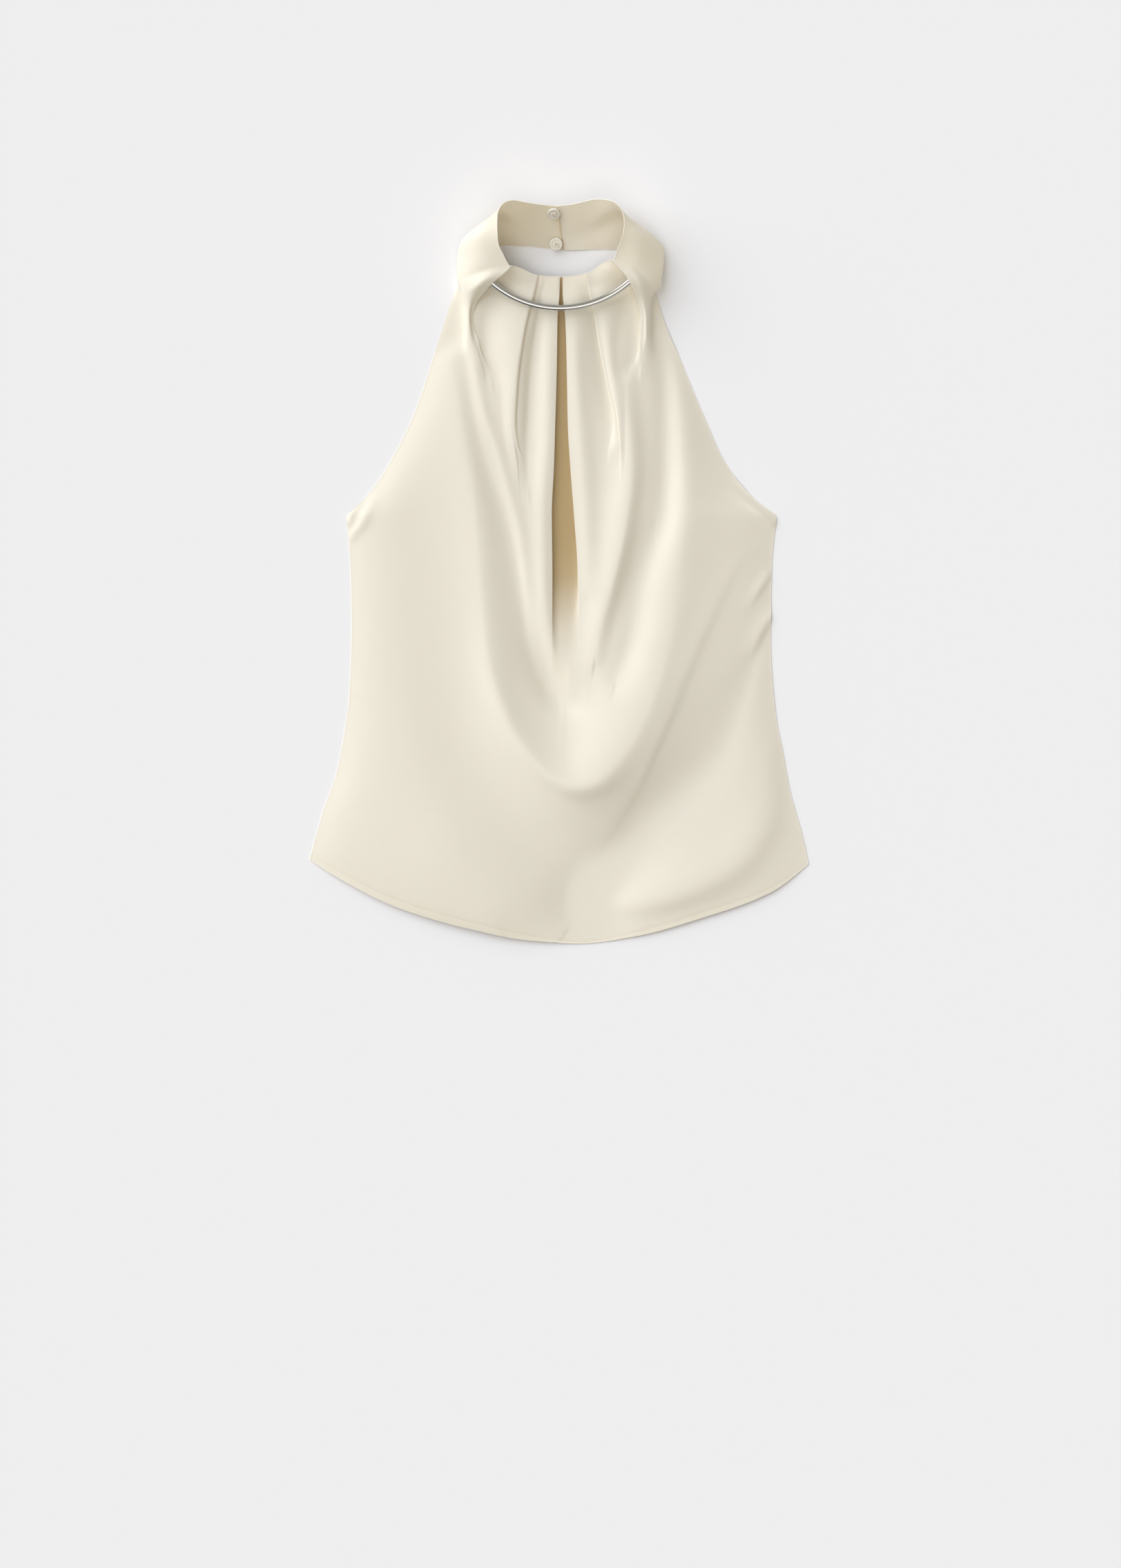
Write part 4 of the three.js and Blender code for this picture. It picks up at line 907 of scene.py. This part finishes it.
# Chrome tube in a flat arc over the pleats, higher at its ends
neckBar = {
    "radius": 98,
    "centreX": 0.7,
    "centreY": 345.2,
    "halfAngle": 43.4,
    "tube": 3.1,
    "sides": 28,
    "steps": 72,
    "lowZ": 17.4,
    "slope": 0.145,
    "endRound": 0.6,
    "colour": (0.63, 0.645, 0.665, 1),
    "roughness": 0.1,
}


def chromePaint():
    paint, nodes, links, shader = newPaint("polishedChrome")
    shader.inputs["Base Color"].default_value = neckBar["colour"]
    shader.inputs["Metallic"].default_value = 1
    place = nodes.new("ShaderNodeTexCoord")
    haze = nodes.new("ShaderNodeTexNoise")
    haze.inputs["Scale"].default_value = 60
    haze.inputs["Detail"].default_value = 4
    gloss = nodes.new("ShaderNodeMapRange")
    gloss.inputs["To Min"].default_value = neckBar["roughness"] - 0.04
    gloss.inputs["To Max"].default_value = neckBar["roughness"] + 0.05
    links.new(place.outputs["Object"], haze.inputs["Vector"])
    links.new(haze.outputs["Fac"], gloss.inputs["Value"])
    links.new(gloss.outputs["Result"], shader.inputs["Roughness"])
    return paint


def makeNeckBar():
    turn = math.radians(neckBar["halfAngle"])
    radius = neckBar["radius"] * mm
    start = (-radius * math.sin(turn), -radius * math.cos(turn), 0)
    bpy.ops.object.select_all(action="DESELECT")
    bpy.ops.mesh.primitive_circle_add(vertices=neckBar["sides"], radius=neckBar["tube"] * mm, location=(0, 0, 0))
    bar = bpy.context.object
    bar.rotation_euler = (0, math.pi / 2, -turn)
    bar.location = start
    settle(bar)
    bpy.ops.object.mode_set(mode="EDIT")
    bpy.ops.mesh.select_all(action="SELECT")
    bpy.ops.mesh.spin(steps=neckBar["steps"], angle=-2 * turn, center=(0, 0, 0), axis=(0, 0, 1))
    for side in (-1, 1):
        bpy.ops.mesh.select_all(action="DESELECT")
        bpy.ops.object.mode_set(mode="OBJECT")
        for point in bar.data.vertices:
            along = math.atan2(point.co.x, -point.co.y) * side
            point.select = along > turn - 0.001
        bpy.ops.object.mode_set(mode="EDIT")
        bpy.ops.mesh.edge_face_add()
    bpy.ops.mesh.select_all(action="DESELECT")
    bpy.ops.mesh.edges_select_sharp(sharpness=math.radians(60))
    bpy.ops.mesh.bevel(offset=neckBar["endRound"] * mm, segments=3)
    bpy.ops.mesh.select_all(action="SELECT")
    bpy.ops.mesh.normals_make_consistent(inside=False)
    bpy.ops.object.mode_set(mode="OBJECT")
    bar.name = "neckTube"
    lean = math.atan(neckBar["slope"])
    bar.rotation_euler = (lean, 0, 0)
    bar.location = (neckBar["centreX"] * mm, neckBar["centreY"] * mm,
                    (neckBar["lowZ"] + neckBar["slope"] * neckBar["radius"]) * mm)
    settle(bar)
    smoothByAngle(bar, 50)
    bar.data.materials.append(chromePaint())
    wear(bar, "neck_bar")
    return bar


makeNeckBar()
print("neck bar ready")

# Two clear buttons with four holes, sewn to the inner face of the collar
buttons = {
    "radius": 6.2,
    "thick": 2.4,
    "rim": 1.5,
    "dish": 0.6,
    "edgeRound": 0.5,
    "holeOut": 1.35,
    "hole": 0.72,
    "colour": (0.95, 0.91, 0.82, 1),
    "clear": 0.3,
    "roughness": 0.14,
}
# sunk is the way from the middle of the cloth to the button's back
buttonPlaces = [
    {"name": "upperButton", "node": "button_upper", "around": 0.882, "up": 0.84, "sunk": 1.2,
     "turn": 20},
    {"name": "lowerButton", "node": "button_lower", "around": 0.88, "up": 0.13, "sunk": 2.5,
     "turn": -8},
]


def clearPaint():
    paint, nodes, links, shader = newPaint("clearButton")
    shader.inputs["Base Color"].default_value = buttons["colour"]
    shader.inputs["Transmission Weight"].default_value = buttons["clear"]
    shader.inputs["Coat Weight"].default_value = 0.5
    place = nodes.new("ShaderNodeTexCoord")
    cloud = nodes.new("ShaderNodeTexNoise")
    cloud.inputs["Scale"].default_value = 350
    gloss = nodes.new("ShaderNodeMapRange")
    gloss.inputs["To Min"].default_value = buttons["roughness"] - 0.05
    gloss.inputs["To Max"].default_value = buttons["roughness"] + 0.08
    links.new(place.outputs["Object"], cloud.inputs["Vector"])
    links.new(cloud.outputs["Fac"], gloss.inputs["Value"])
    links.new(gloss.outputs["Result"], shader.inputs["Roughness"])
    return paint


def threadPaint():
    paint, nodes, links, shader = newPaint("sewingThread")
    shader.inputs["Base Color"].default_value = sewing["colour"]
    shader.inputs["Sheen Weight"].default_value = 0.2
    place = nodes.new("ShaderNodeTexCoord")
    twist = nodes.new("ShaderNodeTexNoise")
    twist.inputs["Scale"].default_value = 1500
    rough = nodes.new("ShaderNodeMapRange")
    rough.inputs["To Min"].default_value = 0.55
    rough.inputs["To Max"].default_value = 0.8
    links.new(place.outputs["Object"], twist.inputs["Vector"])
    links.new(twist.outputs["Fac"], rough.inputs["Value"])
    links.new(rough.outputs["Result"], shader.inputs["Roughness"])
    return paint


def onCollar(stations, around, up, above):
    # a point above the inner face of a collar half, and which way that face looks
    count = 40
    row = collarRow(stations, around, count)
    ahead = collarRow(stations, min(around + 0.01, 1), count) - collarRow(stations, min(around, 0.99), count)
    k = min(max(int(up * count + 0.5), 1), count - 1)
    facing = np.cross(row[k + 1] - row[k - 1], ahead[k])
    facing *= np.sign(facing[2]) / np.linalg.norm(facing)
    place = mix(row[k], row[k + 1], up * count - k) if up * count > k else mix(row[k - 1], row[k], up * count - k + 1)
    return place + facing * above, facing


def blankButton():
    # one button, flat at the origin, its face up
    bpy.ops.object.select_all(action="DESELECT")
    bpy.ops.mesh.primitive_cylinder_add(vertices=48, radius=buttons["radius"] * mm, depth=buttons["thick"] * mm,
                                        location=(0, 0, buttons["thick"] / 2 * mm))
    disc = bpy.context.object
    settle(disc)
    bpy.ops.object.mode_set(mode="EDIT")
    bpy.ops.mesh.select_all(action="SELECT")
    bpy.ops.mesh.edges_select_sharp(sharpness=math.radians(60))
    bpy.ops.mesh.bevel(offset=buttons["edgeRound"] * mm, segments=3)
    bpy.ops.mesh.select_mode(type="FACE")
    bpy.ops.mesh.select_all(action="DESELECT")
    bpy.ops.object.mode_set(mode="OBJECT")
    for face in disc.data.polygons:
        face.select = face.normal.z > 0.99
    bpy.ops.object.mode_set(mode="EDIT")
    bpy.ops.mesh.inset(thickness=buttons["rim"] * mm)
    bpy.ops.mesh.inset(thickness=0.5 * mm, depth=-buttons["dish"] * mm)
    bpy.ops.mesh.select_mode(type="VERT")
    bpy.ops.object.mode_set(mode="OBJECT")
    out = buttons["holeOut"] * mm
    drills = []
    for sx, sy in ((-1, -1), (-1, 1), (1, -1), (1, 1)):
        bpy.ops.object.select_all(action="DESELECT")
        bpy.ops.mesh.primitive_cylinder_add(vertices=16, radius=buttons["hole"] * mm, depth=8 * mm,
                                            location=(sx * out, sy * out, 0))
        drills.append(bpy.context.object)
    drill = joined(drills, "buttonDrill")
    cut = disc.modifiers.new("holes", "BOOLEAN")
    cut.object = drill
    bpy.ops.object.select_all(action="DESELECT")
    disc.select_set(True)
    bpy.context.view_layer.objects.active = disc
    bpy.ops.object.modifier_apply(modifier="holes")
    bpy.data.objects.remove(drill)
    smoothByAngle(disc, 35)
    return disc


def blankStitch(length, radius, name):
    # one stitch: a short capsule along X
    bpy.ops.object.select_all(action="DESELECT")
    bpy.ops.mesh.primitive_uv_sphere_add(segments=8, ring_count=6, radius=radius * mm, rotation=(0, math.pi / 2, 0))
    capsule = bpy.context.object
    settle(capsule)
    stretch = (length / 2 - radius) * mm
    for point in capsule.data.vertices:
        if abs(point.co.x) > radius * 0.05 * mm:
            point.co.x += math.copysign(stretch, point.co.x)
    smoothByAngle(capsule, 80)
    capsule.name = name
    return capsule


# Thread: stitches along the hem, the buttons' thread and the loops that close the collar
sewing = {
    "colour": (0.80, 0.74, 0.61, 1),
    "loop": 0.34,
    "buttonThread": 0.42,
    "buttonStitch": 3.6,
    "sides": 3,
}
sewingPaint = threadPaint()


def spinZ(degrees):
    return Matrix.Rotation(math.radians(degrees), 3, "Z")


def makeButtons():
    paint = clearPaint()
    disc = blankButton()
    stitch = blankStitch(sewing["buttonStitch"], sewing["buttonThread"], "buttonStitch")
    for place in buttonPlaces:
        at, facing = onCollar(collarLeft, place["around"], place["up"], place["sunk"])
        turned = Vector(facing).to_track_quat("Z", "Y")
        button = copyOf(disc, place["name"])
        button.rotation_euler = (turned.to_matrix() @ spinZ(place["turn"])).to_euler()
        button.location = Vector(at) * mm
        settle(button)
        button.data.materials.append(paint)
        wear(button, place["node"])
        strands = []
        for side in (-1, 1):
            strand = copyOf(stitch, "strand")
            height = buttons["thick"] - buttons["dish"] + 0.15
            strand.rotation_euler = (turned.to_matrix() @ spinZ(place["turn"] + 45)).to_euler()
            strand.location = Vector(at) * mm + turned @ Vector((0, 0, height)) * mm
            strand.location += turned @ (spinZ(place["turn"] + 45) @ Vector((0, side * 0.35, 0))) * mm
            settle(strand)
            strands.append(strand)
        sewn = joined(strands, place["name"] + "Thread")
        sewn.data.materials.append(sewingPaint)
        wear(sewn, None)
    bpy.data.objects.remove(disc)
    bpy.data.objects.remove(stitch)


def tubeThrough(name, points, radius, sides):
    # a round cord through points in millimetres, made a mesh
    data = bpy.data.curves.new(name, "CURVE")
    data.dimensions = "3D"
    data.bevel_depth = radius * mm
    data.bevel_resolution = sides
    data.use_fill_caps = True
    line = data.splines.new("POLY")
    line.points.add(len(points) - 1)
    for knot, at in zip(line.points, np.asarray(points, float) * mm):
        knot.co = (*at.tolist(), 1)
    cord = bpy.data.objects.new(name, data)
    bpy.context.scene.collection.objects.link(cord)
    bpy.ops.object.select_all(action="DESELECT")
    cord.select_set(True)
    bpy.context.view_layer.objects.active = cord
    bpy.ops.object.convert(target="MESH")
    cord = bpy.context.object
    smoothByAngle(cord, 60)
    return cord


# Each loop leaves the right half's edge and goes round the button's thread
loops = [
    {"name": "upperLoop",
     "path": [(0.985, 0.93), (0.945, 0.95), (0.898, 0.92), (0.887, 0.84), (0.898, 0.76), (0.945, 0.73),
              (0.985, 0.75)]},
    {"name": "lowerLoop",
     "path": [(0.985, 0.22), (0.95, 0.25), (0.905, 0.22), (0.893, 0.13), (0.905, 0.06), (0.95, 0.04),
              (0.985, 0.05)]},
]


def makeLoops():
    for loop in loops:
        points = [onCollar(collarLeft, around, up, 1.0)[0] for around, up in loop["path"]]
        cord = tubeThrough(loop["name"], lineThrough(points, 5), sewing["loop"], sewing["sides"])
        cord.data.materials.append(sewingPaint)
        wear(cord, None)


makeButtons()
makeLoops()
print("buttons and loops ready")

# Narrow rolled edges, side seams and the stitched hem
edges = {
    "neck": 0.4,
    "collar": 0.4,
    "arm": 0.3,
    "seam": 0.32,
    "seamZ": 0.36,
    "hem": 0.22,
    "sides": 3,
}


def cleanLine(points, least):
    # drops points that come too close to the one before
    kept = [points[0]]
    for point in points[1:]:
        if np.linalg.norm(point - kept[-1]) >= least:
            kept.append(point)
    return np.array(kept)


def makeEdges():
    # lines along the front's own grid: rows run up, columns run across
    grid = frontPoints
    underarm = [int(np.argmin(np.abs(grid[:bodyRows, column, 1] - cloth["underarmY"]))) for column in (0, -1)]
    seamLift = np.array([0, 0, edges["seamZ"] - cloth["frontRest"]])
    lines = {
        "neckEdge": (grid[bodyRows - 1, bands:-bands], edges["neck"]),
        "collarTopLeft": (grid[bodyRows - 1:, bands], edges["collar"]),
        "collarTopRight": (grid[bodyRows - 1:, -bands - 1], edges["collar"]),
        "armEdgeLeft": (grid[underarm[0]:, 0], edges["arm"]),
        "armEdgeRight": (grid[underarm[1]:, -1], edges["arm"]),
        "collarEndLeft": (grid[-1, :bands + 1], edges["arm"]),
        "collarEndRight": (grid[-1, -bands - 1:], edges["arm"]),
        "sideSeamLeft": (grid[:underarm[0] + 1, 0] + seamLift, edges["seam"]),
        "sideSeamRight": (grid[:underarm[1] + 1, -1] + seamLift, edges["seam"]),
        "hemEdge": (grid[0], edges["hem"]),
    }
    pieces = []
    for name, (points, radius) in lines.items():
        cord = tubeThrough(name, cleanLine(points, radius * 0.8), radius, edges["sides"])
        cord.data.materials.append(edgePaint)
        wear(cord, None)
        pieces.append(cord)
    return pieces


def makeHemStitches():
    blank = blankStitch(hem["stitchLength"], hem["thread"], "hemStitch")
    wide = cloth["hemHalfWidth"] - 3
    x = np.linspace(-wide, wide, int(2 * wide / hem["stitch"]))
    y = cloth["hemCentreY"] + tableAt(hemRise, "rise", x / cloth["hemHalfWidth"]) + tableAt(hem, "seam", x)
    z = frontHeight(x, y) + cloth["wall"] / 2 + hem["thread"] * 0.3
    knots = [Vector(p) for p in np.stack([x, y, z], 1)]
    stitches = []
    for a, b in zip(knots, knots[1:]):
        stitch = copyOf(blank, "stitch")
        stitch.location = (a + b) / 2 * mm
        stitch.rotation_euler = (b - a).to_track_quat("X", "Z").to_euler()
        stitches.append(stitch)
    bpy.data.objects.remove(blank)
    row = joined(stitches, "hemStitches")
    settle(row)
    row.data.materials.append(sewingPaint)
    wear(row, None)
    return row


edgePaint = satinPaint("satinEdge", satinLook["edgeColour"])
edgePieces = makeEdges()
edgePieces.append(makeHemStitches())
print("edges and stitches ready")
